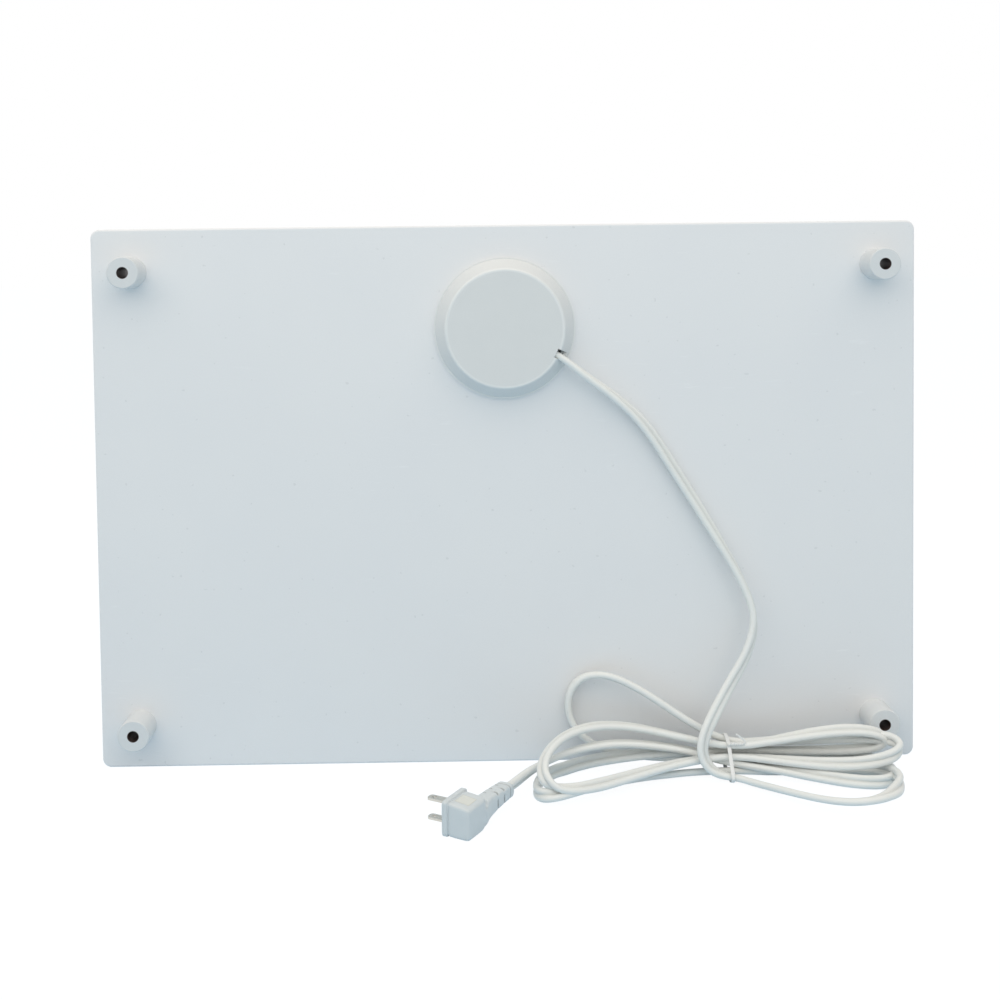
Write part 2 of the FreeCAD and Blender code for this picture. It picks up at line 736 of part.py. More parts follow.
clamp_start = s.clamp_radius - s.clamp_length / 2
clamp_blank = box("clamp_blank", s.clamp_length, s.clamp_width, clamp_height,
                  (*clamp_corner(clamp_start, -s.clamp_width / 2), floor_z), clamp_turn)
clamp_tools = [box("clamp_slot", s.clamp_length + 2 * s.overrun, s.clamp_slot_width,
                   clamp_height - s.clamp_bar_thickness + s.overrun,
                   (*clamp_corner(clamp_start - s.overrun, -s.clamp_slot_width / 2), floor_z - s.overrun),
                   clamp_turn)]
clamp_screws = []
for index, (x, y) in enumerate(clamp_screw_places):
    place = (s.hub_x + x, hub_y + y)
    clamp_tools.append(cylinder(f"clamp_hole_{index}", s.clamp_screw_diameter + 2 * s.screw_clearance,
                                clamp_height + 2 * s.overrun, (*place, floor_z - s.overrun)))
    clamp_screws.append(screw(f"clamp_screw_{index}", *place, clamp_top, s.clamp_screw_head_diameter,
                              s.clamp_screw_head_height, s.clamp_screw_diameter,
                              clamp_height + s.base_thickness))
keep(cut("cord_clamp", clamp_blank, clamp_tools), "cord_clamp")
keep(group("clamp_screws", clamp_screws), "clamp_screws")

# Wiring inside the junction box: x, y from the box's centre, out of the rear face
lead_end = s.wire_end_rise.value
tab_mid = (cutout_top + s.tab_thickness / 2).value
tab_x = s.cutout_x.value
reach_up = (s.cutout_y + s.receptacle_reach).value
reach_down = (s.cutout_y - s.receptacle_reach).value
pole = pole_z.value
low_pole = (s.block_y - s.pole_spacing / 2).value
high_pole = (s.block_y + s.pole_spacing / 2).value
lead_x = s.wire_end_offset_x.value
lead_y = s.wire_end_offset_y.value
WIRING = {
    "element_lead_live": [(-lead_x, lead_y, lead_end), (-lead_x, lead_y, 8.6),
                          (tab_x + 2.5, lead_y + 1.2, tab_mid), (tab_x, reach_up + 3.5, tab_mid),
                          (tab_x, reach_up, tab_mid)],
    "element_lead_neutral": [(lead_x, lead_y, lead_end), (lead_x, lead_y, 9.4), (4.0, 20.0, 9.6),
                             (-9.0, 16.0, 9.0), (-13.0, 8.0, 7.6), (-10.0, high_pole, pole),
                             (0.5, high_pole, pole)],
    "link_wire": [(tab_x, reach_down, tab_mid), (tab_x, reach_down - 5.0, tab_mid), (-17.0, -29.0, 8.0),
                  (-10.5, -22.0, 7.0), (-12.0, -13.0, pole), (-8.5, low_pole, pole), (0.5, low_pole, pole)],
    "cord_core_live": [(16.37, -9.36, 5.7), (14.57, -8.48, 5.7), (12.8, low_pole, pole),
                       (7.5, low_pole, pole)],
    "cord_core_neutral": [(17.47, -7.06, 5.7), (15.67, -6.18, 5.7), (15.0, 0.6, pole),
                          (12.4, high_pole, pole), (7.5, high_pole, pole)],
}
for name, points in WIRING.items():
    route = [(s.hub_x.value + x, out, hub_y.value + y) for x, y, out in points]
    cord_node(name, route, s.core_diameter.value)

# Cord from the junction box to the hank, and from the hank to the plug
cord_node("cord_lead", LEAD_ROUTE, s.cord_diameter.value)
cord_node("cord_tail", TAIL_ROUTE, s.cord_diameter.value)


# Hank: half loops to the right and left of the tie, each of two biarcs of a quarter turn
def hank_slot(slot):
    column = s.hank_front_column if slot[0] == "f" else s.hank_front_column - s.hank_pitch
    row = s.hank_lowest_row + s.hank_pitch * (int(slot[1]) - 1)
    return Vector(s.tie_x.value, row.value, column.value)


def arc_between(start, heading, end):
    """Arc from a start with a heading to an end."""
    chord = end - start
    aside = (chord - heading * chord.dot(heading)).normalize()
    radius = chord.dot(chord) / (2 * chord.dot(aside))
    half = heading.getAngle(chord)
    middle = start + heading * (radius * math.sin(half)) + aside * (radius * (1 - math.cos(half)))
    return Part.Arc(start, middle, end).toShape(), radius


def biarc(start, heading, end, end_heading):
    """Two tangent arcs of equal reach from a start and heading to an end and heading."""
    chord = end - start
    bend = 2 * (1 - heading.dot(end_heading))
    pull = chord.dot(heading + end_heading)
    reach = (-pull + math.sqrt(pull * pull + bend * chord.dot(chord))) / bend
    first_corner = start + heading * reach
    second_corner = end - end_heading * reach
    joint = (first_corner + second_corner) / 2
    joint_heading = (second_corner - first_corner).normalize()
    return [arc_between(start, heading, joint), arc_between(joint, joint_heading, end)]


def half_loop(side, leaves, returns, reach, leaving, returning):
    """Out from the tie to the end of the loop, which lies between the two bellies, and back."""
    start = hank_slot(leaves)
    finish = hank_slot(returns)
    out = Vector(0, leaving[1], leaving[0])
    back = Vector(0, returning[1], returning[0])
    along = Vector(side, 0, 0)
    end = (start + finish) / 2 + along * reach + out + back
    end_heading = (back - out + (finish - start) / 2).normalize()
    return biarc(start, along, end, end_heading) + biarc(end, end_heading, finish, -along)


arcs = []
for loop in HANK_LOOPS:
    arcs.extend(half_loop(*loop))
hank_radii = [radius for edge, radius in arcs]
lead_in = Vector(s.cord_diameter.value, 0, 0)
hank_start = hank_slot(HANK_LOOPS[0][1])
hank_finish = hank_slot(HANK_LOOPS[-1][2])
hank_edges = [straight(hank_start - lead_in, hank_start)]
hank_edges.extend(edge for edge, radius in arcs)
hank_edges.append(straight(hank_finish, hank_finish - lead_in))
tube_node("cord_hank", hank_edges, s.cord_diameter.value)


def least_gap(edges, diameter, step, apart):
    """Least gap of a tube to itself between points that lie well apart along it."""
    points = []
    travelled = 0.0
    for edge in edges:
        count = max(2, int(edge.Length / step) + 1)
        for index, point in enumerate(edge.discretize(Number=count)[:-1]):
            points.append((travelled + edge.Length * index / (count - 1), point))
        travelled += edge.Length
    least = min((second[1] - first[1]).Length for index, first in enumerate(points)
                for second in points[index + 1:] if second[0] - first[0] > apart)
    return least - diameter


gap = least_gap(hank_edges, s.cord_diameter.value, s.cord_diameter.value / 3, 5 * s.cord_diameter.value)
print(f"cord_hank: least gap to itself {gap:.2f} mm, tightest radius {min(hank_radii):.1f} mm")

# Tie round the hank's waist, with its knot and one free end
around = s.cord_diameter / 2 + s.tie_gap
tie_low = s.hank_lowest_row - around
tie_high = s.hank_lowest_row + 3 * s.hank_pitch + around
tie_back = s.hank_front_column - s.hank_pitch - around
tie_front = s.hank_front_column + around
tie_left = s.tie_x - s.tie_width / 2
band = box("tie_band", s.tie_width, tie_high - tie_low + 2 * s.tie_thickness,
           tie_front - tie_back + 2 * s.tie_thickness,
           (tie_left, tie_low - s.tie_thickness, tie_back - s.tie_thickness))
inside = box("tie_inside", s.tie_width + 2 * s.overrun, tie_high - tie_low, tie_front - tie_back,
             (tie_left - s.overrun, tie_low, tie_back))
knot = box("tie_knot", s.tie_knot_length, s.tie_knot_length, s.tie_width,
           (s.tie_x - s.tie_knot_length / 2, tie_high, tie_front - s.tie_width))
free_end = box("tie_end", s.tie_end_length, s.tie_end_width, s.tie_end_width,
               (s.tie_x, tie_high + s.tie_thickness, tie_front - s.tie_width), about_z(s.tie_end_angle))
keep(fuse("cord_tie", [cut("tie_loop", band, [inside]), knot, free_end]), "cord_tie")

# Plug: x along its plate towards the cord, y up, z from the face of the plate into the body
PLUG_TURN = FreeCAD.Rotation(Vector(0, 1, 0), s.plug_turn.value)
plug = make_body("plug_body")
plate = sketch_on(plug, "XY_Plane", "plug_plate")
plate_right = s.plug_plate_width
plate_top = s.plug_plate_height
outline(plate, [(0, 0), (plate_right, 0), (plate_right, plate_top), (0, plate_top)])
pad(plug, plate, s.plug_plate_thickness, "plug_plate_pad")
fillet(plug, s.plug_corner_radius, "plug_plate_corners",
       lambda middle, tangent, edge: abs(tangent.z) > 1 - NEAR)
shell = sketch_on(plug, "XY_Plane", "plug_shell", s.plug_plate_thickness)
shell_right = s.plug_plate_width - s.plug_step
shell_top = s.plug_plate_height - s.plug_step
outline(shell, [(s.plug_step, s.plug_step), (shell_right, s.plug_step), (shell_right, shell_top),
                (s.plug_step, shell_top)])
pad(plug, shell, s.plug_body_depth, "plug_shell_pad")
plug_back = s.plug_plate_thickness + s.plug_body_depth
fillet(plug, s.plug_back_radius, "plug_shell_edges",
       lambda middle, tangent, edge: near(middle.z, plug_back)
       or (abs(tangent.z) > 1 - NEAR and middle.z > s.plug_plate_thickness.value))
neck_mid = s.plug_plate_height / 2


def neck_section(name, offset, height, width, out):
    """Rectangle with its corners cut off, across the neck."""
    sketch = sketch_on(plug, "YZ_Plane", name, offset)
    low = neck_mid - height / 2
    high = neck_mid + height / 2
    near_side = out - width / 2
    far_side = out + width / 2
    corner = s.neck_corner
    outline(sketch, [(low + corner, near_side), (high - corner, near_side), (high, near_side + corner),
                     (high, far_side - corner), (high - corner, far_side), (low + corner, far_side),
                     (low, far_side - corner), (low, near_side + corner)])
    return sketch


neck_root = neck_section("neck_root", shell_right - s.neck_start_inset, s.neck_base_height, s.neck_base_width,
                         s.neck_base_out)
neck_tip = neck_section("neck_tip", s.neck_reach, s.neck_tip_height, s.neck_tip_width, s.neck_tip_out)
neck = plug.newObject("PartDesign::AdditiveLoft", "neck")
neck.Profile = neck_root
neck.Sections = [neck_tip]
window = sketch_on(plug, "XZ_Plane", "window_outline", -shell_top)
window_left = s.plug_plate_width / 2 - s.window_length / 2
window_near = s.plug_plate_thickness + s.plug_body_depth / 2 - s.window_width / 2
window_right = window_left + s.window_length
window_far = window_near + s.window_width
outline(window, [(window_left, window_near), (window_right, window_near), (window_right, window_far),
                 (window_left, window_far)])
pocket(plug, window, s.window_depth, "window_pocket", True)
slots = sketch_on(plug, "XY_Plane", "blade_slots")
blade_levels = [neck_mid - s.blade_spacing / 2, neck_mid + s.blade_spacing / 2]
slot_half = s.blade_width / 2 + s.blade_clearance
slot_rise = s.blade_thickness / 2 + s.blade_clearance
blade_x = s.plug_plate_width / 2
for level in blade_levels:
    outline(slots, [(blade_x - slot_half, level - slot_rise), (blade_x + slot_half, level - slot_rise),
                    (blade_x + slot_half, level + slot_rise), (blade_x - slot_half, level + slot_rise)])
pocket(plug, slots, s.blade_embed + s.blade_clearance, "blade_slot_pocket", True)
keep(put(plug, s.plug_corner_x, 0, s.plug_corner_out, PLUG_TURN), "plug_body")

for name, level in zip(("plug_blade_lower", "plug_blade_upper"), blade_levels):
    blade = make_body(name)
    flat = sketch_on(blade, "XZ_Plane", name + "_outline", s.blade_thickness / 2 - level)
    left = blade_x - s.blade_width / 2
    right = blade_x + s.blade_width / 2
    outline(flat, [(left, -s.blade_length), (right, -s.blade_length), (right, s.blade_embed),
                   (left, s.blade_embed)])
    pad(blade, flat, s.blade_thickness, name + "_pad").Reversed = True
    fillet(blade, s.blade_tip_radius, name + "_tip",
           lambda middle, tangent, edge: near(middle.z, -s.blade_length) and abs(tangent.y) > 1 - NEAR)
    hole = sketch_on(blade, "XZ_Plane", name + "_hole_place", s.blade_thickness / 2 - level)
    circle(hole, blade_x, s.blade_hole_from_tip - s.blade_length, s.blade_hole_diameter)
    pocket(blade, hole, 2 * s.blade_thickness, name + "_hole", False)
    keep(put(blade, s.plug_corner_x, 0, s.plug_corner_out, PLUG_TURN), name)

# Checks and export
doc.recompute()
for item in doc.Objects:
    if "Invalid" in item.State or "Error" in item.State:
        raise RuntimeError(f"{item.Label} failed: {item.State}")
for item in nodes:
    if item.Shape.isNull() or not item.Shape.isValid():
        raise RuntimeError(f"{item.Label} has no valid shape")
    if not item.Shape.Solids:
        raise RuntimeError(f"{item.Label} holds no solid")
os.makedirs("parts", exist_ok=True)
for item in nodes:
    item.Shape.exportStep(f"parts/{item.Label}.step")
print(len(nodes), "nodes written")
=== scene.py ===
# %% [markdown]
# A ceramic panel heater, seen from its rear. Two thin fired boards make the panel, four round
# standoffs hold it off the wall, a shallow round box covers the connections, and a flat twin
# cord in a tied hank ends in a right-angle plug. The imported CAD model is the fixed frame. This
# lesson dresses it: it adds the soft cord, the moulded plug and the finishes.

# %% Load the frame
import bpy
import json
import numpy as np
from mathutils import Matrix, Vector

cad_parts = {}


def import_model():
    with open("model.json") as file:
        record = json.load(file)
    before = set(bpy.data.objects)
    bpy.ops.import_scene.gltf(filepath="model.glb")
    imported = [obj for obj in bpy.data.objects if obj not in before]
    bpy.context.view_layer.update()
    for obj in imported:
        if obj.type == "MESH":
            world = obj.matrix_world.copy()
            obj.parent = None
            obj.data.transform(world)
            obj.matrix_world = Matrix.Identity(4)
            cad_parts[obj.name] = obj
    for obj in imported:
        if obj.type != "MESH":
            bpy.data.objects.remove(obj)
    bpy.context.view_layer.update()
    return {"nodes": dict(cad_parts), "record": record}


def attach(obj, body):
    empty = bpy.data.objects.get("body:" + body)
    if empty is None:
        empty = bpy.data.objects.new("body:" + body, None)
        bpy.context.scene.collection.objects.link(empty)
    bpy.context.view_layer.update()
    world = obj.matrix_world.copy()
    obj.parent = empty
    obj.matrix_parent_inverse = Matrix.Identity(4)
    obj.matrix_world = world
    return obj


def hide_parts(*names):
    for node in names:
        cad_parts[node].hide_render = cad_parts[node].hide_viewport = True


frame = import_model()
scene = bpy.context.scene
MM = 0.001

# %% [markdown]
# The camera could be placed by eye, but here it was worked out from the panel's corners and
# standoffs. It stands about 0.93 m behind the heater, a little above the middle, and looks down
# by 2.4 degrees. The picture's centre lies below the optical axis, so the lens is shifted.

# %% Camera
EYE = Vector((-0.02882, -0.93021, 0.36471))
PITCH, YAW, ROLL = np.radians([2.361, 0.546, -0.693])
forward = Vector((np.sin(YAW) * np.cos(PITCH), np.cos(YAW) * np.cos(PITCH), -np.sin(PITCH)))
level_right = Vector((np.cos(YAW), -np.sin(YAW), 0))
level_up = level_right.cross(forward)
right = np.cos(ROLL) * level_right + np.sin(ROLL) * level_up
up = -np.sin(ROLL) * level_right + np.cos(ROLL) * level_up

# the focal length is given as a share of the sensor's width
SENSOR, FOCAL_SHARE = 36, 1.2849
lens = bpy.data.cameras.new("camera")
lens.sensor_width, lens.lens = SENSOR, SENSOR * FOCAL_SHARE
lens.shift_x, lens.shift_y = 0.0228, -0.1787
camera = bpy.data.objects.new("camera", lens)
camera.matrix_world = Matrix((right, up, -forward)).transposed().to_4x4()
camera.location = EYE
scene.collection.objects.link(camera)
scene.camera = camera
print("camera:", round(lens.lens, 2), "mm lens")

# %% [markdown]
# Shader graphs grow long when each node is made by hand. Here one small class wraps a socket, so
# that ordinary arithmetic adds Math nodes, and one method of a graph adds any other node. A
# colour is written as the 0 to 255 values that a picture viewer would show.

# %% Shader arithmetic
def tone(red, green, blue):
    """Linear light of a display colour: ((c + 0.055) / 1.055) ** 2.4."""
    return tuple(((c / 255 + 0.055) / 1.055) ** 2.4 for c in (red, green, blue))


class Wire:
    """A socket in a graph. Each operator adds a Math node and returns its output."""

    def __init__(self, graph, socket):
        self.graph, self.socket = graph, socket

    def math(self, operation, *values):
        return self.graph.node("ShaderNodeMath", {"operation": operation}, dict(enumerate(values)))

    def __add__(self, other): return self.math("ADD", self, other)
    def __radd__(self, other): return self.math("ADD", other, self)
    def __sub__(self, other): return self.math("SUBTRACT", self, other)
    def __rsub__(self, other): return self.math("SUBTRACT", other, self)
    def __mul__(self, other): return self.math("MULTIPLY", self, other)
    def __rmul__(self, other): return self.math("MULTIPLY", other, self)
    def __pow__(self, other): return self.math("POWER", self, other)
    def __abs__(self): return self.math("ABSOLUTE", self)
    def least(self, other): return self.math("MINIMUM", self, other)
    def most(self, other): return self.math("MAXIMUM", self, other)

    def step(self, low, high):
        """0 below low, 1 above high, with a smooth rise between them."""
        return self.graph.node("ShaderNodeMapRange", {"interpolation_type": "SMOOTHSTEP"},
                               {0: self, 1: low, 2: high, 3: 0.0, 4: 1.0})


class Graph:
    """The nodes of a material or of the world."""

    def __init__(self, owner):
        owner.use_nodes = True
        self.tree = owner.node_tree
        self.tree.nodes.clear()

    def node(self, kind, settings=None, sockets=None, out=0):
        """A node of any type, with its settings, the values or links of its sockets, and the
        output that is wanted. A node that ends a graph has none."""
        made = self.tree.nodes.new(kind)
        for name, value in (settings or {}).items():
            setattr(made, name, value)
        for name, value in (sockets or {}).items():
            self.set(made.inputs[name], value)
        return Wire(self, made.outputs[out]) if made.outputs else None

    def set(self, socket, value):
        if isinstance(value, Wire):
            self.tree.links.new(value.socket, socket)
        elif socket.type == "RGBA":
            socket.default_value = (*value, 1)
        else:
            socket.default_value = value


class Finish(Graph):
    """A material in the making, on Object coordinates in metres."""

    def __init__(self, name):
        self.material = bpy.data.materials.new(name)
        super().__init__(self.material)
        self.spot = self.node("ShaderNodeTexCoord", out="Object")

    def axes(self):
        """The three coordinates of a point, each on its own."""
        return [self.node("ShaderNodeSeparateXYZ", {}, {0: self.spot}, axis) for axis in "XYZ"]

    def noise(self, size, detail=3.0, rough=0.55, at=None):
        """Soft noise from 0 to 1 whose blotches are about size metres across."""
        return self.node("ShaderNodeTexNoise", {}, {"Vector": at or self.spot, "Scale": 1 / size,
                                                    "Detail": detail, "Roughness": rough}, "Fac")

    def placed(self, turn=(0, 0, 0), move=(0, 0, 0), scale=(1, 1, 1)):
        """Object coordinates scaled, turned and moved by a Mapping node."""
        return self.node("ShaderNodeMapping", {}, {"Vector": self.spot, "Rotation": turn,
                                                   "Location": move, "Scale": scale})

    def mix(self, share, first, second):
        """A colour that goes from first to second as share goes from 0 to 1."""
        return self.node("ShaderNodeMix", {"data_type": "RGBA"}, {0: share, 6: first, 7: second}, 2)

    def bump(self, height, depth, strength=1.0):
        """A Bump node: height is 0 to 1, depth in metres."""
        return self.node("ShaderNodeBump", {}, {"Height": height, "Distance": depth,
                                                "Strength": strength}, "Normal")

    def shine(self, **sockets):
        """Ends the finish in a Principled shader; Base_Color stands for Base Color."""
        named = {name.replace("_", " "): value for name, value in sockets.items()}
        shader = self.node("ShaderNodeBsdfPrincipled", {}, named)
        self.node("ShaderNodeOutputMaterial", {}, {0: shader})
        return self.material


print("shader arithmetic ready")

# %% [markdown]
# The photograph shows soft light from above and a blue glow from below, on white. A large softbox
# hangs over the heater, the sky gives an even fill, and the floor is a pale blue that tints what
# faces it. Light Path lets the camera and mirrors see them nearly white, and the floor keeps a
# faint shadow.

# %% Floor, sky and softbox
def backdrop(owner, lit, white, white_share, end):
    """Mixes what lights the heater with plain white for camera, glossy and transmission rays."""
    graph = Graph(owner)
    by_camera, by_mirror, by_glass = (graph.node("ShaderNodeLightPath", out=f"Is {ray} Ray")
                                      for ray in ("Camera", "Glossy", "Transmission"))
    share = by_camera.most(by_mirror).most(by_glass) * white_share
    blend = graph.node("ShaderNodeMixShader", {},
                       {0: share, 1: graph.node(*lit), 2: graph.node(*white)})
    graph.node(end, {}, {0: blend})


FLOOR_BLUE, FLOOR_WHITE_SHARE, FLOOR_GLOW = tone(188, 217, 237), 0.86, 1.11
floor_paint = bpy.data.materials.new("floor_paint")
backdrop(floor_paint, ("ShaderNodeBsdfDiffuse", {}, {"Color": FLOOR_BLUE}),
         ("ShaderNodeEmission", {}, {"Strength": FLOOR_GLOW}), FLOOR_WHITE_SHARE,
         "ShaderNodeOutputMaterial")

REACH = 30.0
floor_mesh = bpy.data.meshes.new("floor")
floor_mesh.from_pydata([(-REACH, -REACH, 0), (REACH, -REACH, 0), (REACH, REACH, 0), (-REACH, REACH, 0)],
                       [], [(0, 1, 2, 3)])
floor_mesh.materials.append(floor_paint)
floor = bpy.data.objects.new("floor", floor_mesh)
scene.collection.objects.link(floor)

SKY_TONE, SKY_STRENGTH, PLAIN_WHITE = tone(244, 243, 240), 0.64, (1, 1, 1)
sky = bpy.data.worlds.new("sky")
backdrop(sky, ("ShaderNodeBackground", {}, {"Color": SKY_TONE, "Strength": SKY_STRENGTH}),
         ("ShaderNodeBackground", {}, {"Color": PLAIN_WHITE}), 1.0, "ShaderNodeOutputWorld")
scene.world = sky

SOFTBOX_AT, SOFTBOX_AIM = Vector((-0.12, -0.70, 1.22)), Vector((0, 0, 0.1))
softbox_lamp = bpy.data.lights.new("softbox", "AREA")
softbox_lamp.shape, softbox_lamp.size, softbox_lamp.size_y = "RECTANGLE", 2.6, 1.8
softbox_lamp.energy, softbox_lamp.color = 14, (1.0, 0.95, 0.88)
softbox = bpy.data.objects.new("softbox", softbox_lamp)
softbox.location = SOFTBOX_AT
softbox.rotation_euler = (SOFTBOX_AIM - SOFTBOX_AT).to_track_quat("-Z", "Y").to_euler()
scene.collection.objects.link(softbox)
scene.view_settings.view_transform = "Standard"
print("stage: floor, sky and one softbox of", softbox_lamp.energy, "W")

# %% [markdown]
# Every new piece is a grid of points, worked out as whole arrays. One helper turns a grid into a
# closed mesh: rows follow the path, columns go round the section, and the two ends are closed by
# fans about their middles.

# %% Grid to mesh
def skin(name, grid, ring=False):
    """A closed mesh over grid[row, column]: columns wrap round, rows wrap too when ring is set,
    and otherwise each end row gets a fan to its mean point."""
    rows, columns, _ = grid.shape
    index = np.arange(rows * columns).reshape(rows, columns)
    below = index if ring else index[:-1]
    above = np.roll(index, -1, 0) if ring else index[1:]
    quads = np.stack([below, np.roll(below, -1, 1), np.roll(above, -1, 1), above], -1).reshape(-1, 4)
    points, faces = grid.reshape(-1, 3), quads.tolist()
    if not ring:
        first, last = rows * columns, rows * columns + 1
        points = np.vstack([points, grid[0].mean(0), grid[-1].mean(0)])
        start, end = index[0], index[-1]
        faces += np.stack([np.roll(start, -1), start, np.full(columns, first)], -1).tolist()
        faces += np.stack([end, np.roll(end, -1), np.full(columns, last)], -1).tolist()
    mesh = bpy.data.meshes.new(name)
    mesh.from_pydata(points.tolist(), [], faces)
    mesh.polygons.foreach_set("use_smooth", np.ones(len(mesh.polygons), bool))
    mesh.update()
    piece = bpy.data.objects.new(name, mesh)
    scene.collection.objects.link(piece)
    return piece


def unit(vectors):
    """Each vector divided by its length."""
    return vectors / np.linalg.norm(vectors, axis=-1, keepdims=True)


def smoothed(columns, span=9):
    """Each column averaged over span neighbours with the weights of a Hann window."""
    weights = np.hanning(span + 2)[1:-1] / np.hanning(span + 2).sum()
    return np.stack([np.convolve(np.pad(column, span // 2, "edge"), weights, "valid")
                     for column in columns.T], -1)


def between(at, places, rows):
    """Rows of numbers read at new places, straight from one given place to the next."""
    return np.stack([np.interp(at, places, column) for column in rows.T], -1)


def spaced(points, count):
    """Points at even steps along a line, and the share of the line's points at each of them."""
    gone = np.append(0, np.cumsum(np.linalg.norm(np.diff(points, axis=0), axis=1)))
    index = np.interp(np.linspace(0, gone[-1], count), gone, np.arange(len(points)))
    return between(index, np.arange(len(points)), points), index


def carry(path, across, over, section):
    """A section carried along a path: path + section x * across + section y * over. The section
    is one outline for the whole path, or one for each of its points."""
    section = np.broadcast_to(section, (len(path),) + np.shape(section)[-2:])
    return path[:, None] + section[..., :1] * across[:, None] + section[..., 1:] * over[:, None]


def mark(piece, name, values):
    """A number for each grid point, for a finish to read, and 0 for the middles of the two ends."""
    values = np.concatenate([np.ravel(values), (0, 0)])
    piece.data.attributes.new(name, "FLOAT", "POINT").data.foreach_set("value", values)


print("mesh helpers ready")

# %% [markdown]
# The cord is one flat twin lead, 9.4 by 4.7 mm: it leaves the box by the notch, lies down across
# the panel, and is folded into a hank of seven half loops held at the waist by a tie, before its
# last stretch runs to the plug. A bevelled curve would give it a round section, so the route is a
# NURBS spline, read back as points, and a section is carried along it. Positions are in mm as
# (right, out of the rear face, height).

# %% Cord route
REAR_FACE = 6.0
LEAD = np.array([(17.1, 5.7, 312.7), (28.8, 6.0, 306.0), (40.6, 10.6, 300.2), (58.8, 9.6, 285.2),
                 (80.5, 7.2, 269.8), (102.0, 5.9, 249.5), (121.5, 5.6, 218.3), (146.0, 6.6, 178.5),
                 (169.5, 10.0, 138.0), (180.2, 14.0, 110.5), (174.0, 20.2, 86.5), (158.0, 27.0, 64.0),
                 (144.5, 35.0, 44.0), (136.5, 40.5, 31.0), (134.2, 42.5, 20.5), (138.6, 44.0, 10.4),
                 (147.0, 43.5, 4.8)])
TAIL = np.array([(145.0, 29.5, 12.0), (133.8, 27.0, 15.2), (117.8, 25.5, 17.8), (96.4, 24.5, 20.4),
                 (78.4, 25.0, 21.8), (62.1, 27.5, 21.4), (47.6, 31.5, 20.0), (33.0, 37.0, 17.4),
                 (22.0, 43.5, 14.8), (11.5, 51.0, 12.0), (5.16, 61.8, 11.5), (-0.82, 72.15, 11.5),
                 (-6.8, 81.5, 11.5)])
TIE_AT, WAIST_OUT, WAIST_LOW = 157.0, 31.0, 2.6
WAIST_STEP, WAIST_SLIDE, WAIST_RISE = 9.8, 11.0, 5.6
LOOP_STEPS = 12
# side, the slots in the tie that the loop leaves and returns to, reach, how far the leaving and
# the returning strand belly out and up, skew and power
HALF_LOOPS = [("right", "f1", "b1", 111, (57.5, 3.7), (0.1, 5.7), 0.63, 2.39),
              ("left", "b1", "b3", 142, (53.0, 4.3), (-14.0, -8.2), 1.01, 2.6),
              ("right", "b3", "f4", 112, (7.2, 0.3), (3.1, 11.9), 1.25),
              ("left", "f4", "f3", 138, (-20.2, 16.7), (47.9, -9.1), 0.84, 1.66),
              ("right", "f3", "b4", 119, (18.4, -2.0), (6.1, 8.8), -1.24),
              ("left", "b4", "b2", 115, (-6.2, 43.0), (-9.4, -4.1), -1.17),
              ("right", "b2", "f2", 113, (-4.9, 3.1), (29.2, -3.6), -1.03)]


def waist(slot):
    """Where a strand passes the tie: f is the front column, b the back one, 1 the lowest row, which
    has slid forwards on the floor."""
    column, row = slot[0], int(slot[1])
    return np.array([TIE_AT, WAIST_OUT - WAIST_STEP * (column == "b") + WAIST_SLIDE * (row == 1),
                     WAIST_LOW + WAIST_RISE * (row - 1)])


def half_loop(side, start, end, reach, leaving, returning, skew, power=1.35):
    """From slot to slot by a share s from 0 to 1: the ends blend by (1 - cos pi s) / 2 and the reach
    swings out by sin pi s. With b = pi * s ** skew, which moves the bellies nearer to one end, they
    swell by sin b ** power * (1 + cos b) on the way out and (1 - cos b) on the way back. A negative
    skew counts the shares from the loop's other end."""
    share = np.linspace(0, 1, LOOP_STEPS + 1)[:-1]
    belly = np.pi * (share ** skew if skew > 0 else 1 - (1 - share) ** -skew)
    blend = (1 - np.cos(np.pi * share)) / 2
    swell = np.sin(belly) ** power
    points = np.outer(1 - blend, waist(start)) + np.outer(blend, waist(end))
    points[:, 0] += (1 if side == "right" else -1) * reach * np.sin(np.pi * share)
    points[:, 1:] += np.outer(swell * (1 + np.cos(belly)), leaving)
    points[:, 1:] += np.outer(swell * (1 - np.cos(belly)), returning)
    return points


def world(points):
    """Row frame metres of (right, out, height) in mm."""
    points = np.asarray(points, float)
    return np.stack([points[..., 0], REAR_FACE - points[..., 1], points[..., 2]], -1) * MM


hank = np.vstack([half_loop(*loop) for loop in HALF_LOOPS] + [waist("f2")[None]])
route = world(np.vstack([LEAD, hank, TAIL]))
line = bpy.data.curves.new("cord_route", "CURVE")
line.dimensions, line.resolution_u = "3D", 10
spline = line.splines.new("NURBS")
spline.points.add(len(route) - 1)
spline.points.foreach_set("co", np.hstack([route, np.ones((len(route), 1))]).ravel())
spline.order_u = 3
spline.use_endpoint_u = True
route_object = bpy.data.objects.new("cord_route", line)
scene.collection.objects.link(route_object)
traced = bpy.data.meshes.new_from_object(route_object)
cord_path = np.zeros(len(traced.vertices) * 3)
traced.vertices.foreach_get("co", cord_path)
cord_path = cord_path.reshape(-1, 3)
bpy.data.objects.remove(route_object)
bpy.data.meshes.remove(traced)
# a cord is stiff, so it is averaged over about 20 mm of its own length
CORD_ROWS, STIFF_ROWS = 1200, 11
cord_path, traced_at = spaced(cord_path, CORD_ROWS)
cord_path = smoothed(cord_path, STIFF_ROWS)
cord_length = np.linalg.norm(np.diff(cord_path, axis=0), axis=1).sum()
print("cord route:", len(route), "control points,", len(cord_path), "rows,", round(cord_length, 3), "m")

# %% [markdown]
# The two cores lie side by side, so the outline is a figure of eight filled at its waist. A flat
# cord turns as it goes: in places both cores face the camera and in places it stands on edge. A
# list of angles says how far the broad side is turned at each point of the route, 0 on edge as seen
# from a little above and 90 facing the rear. At the far end of a loop the cord bends the easy way,
# over its broad side, or is turned from that by an angle of its own.

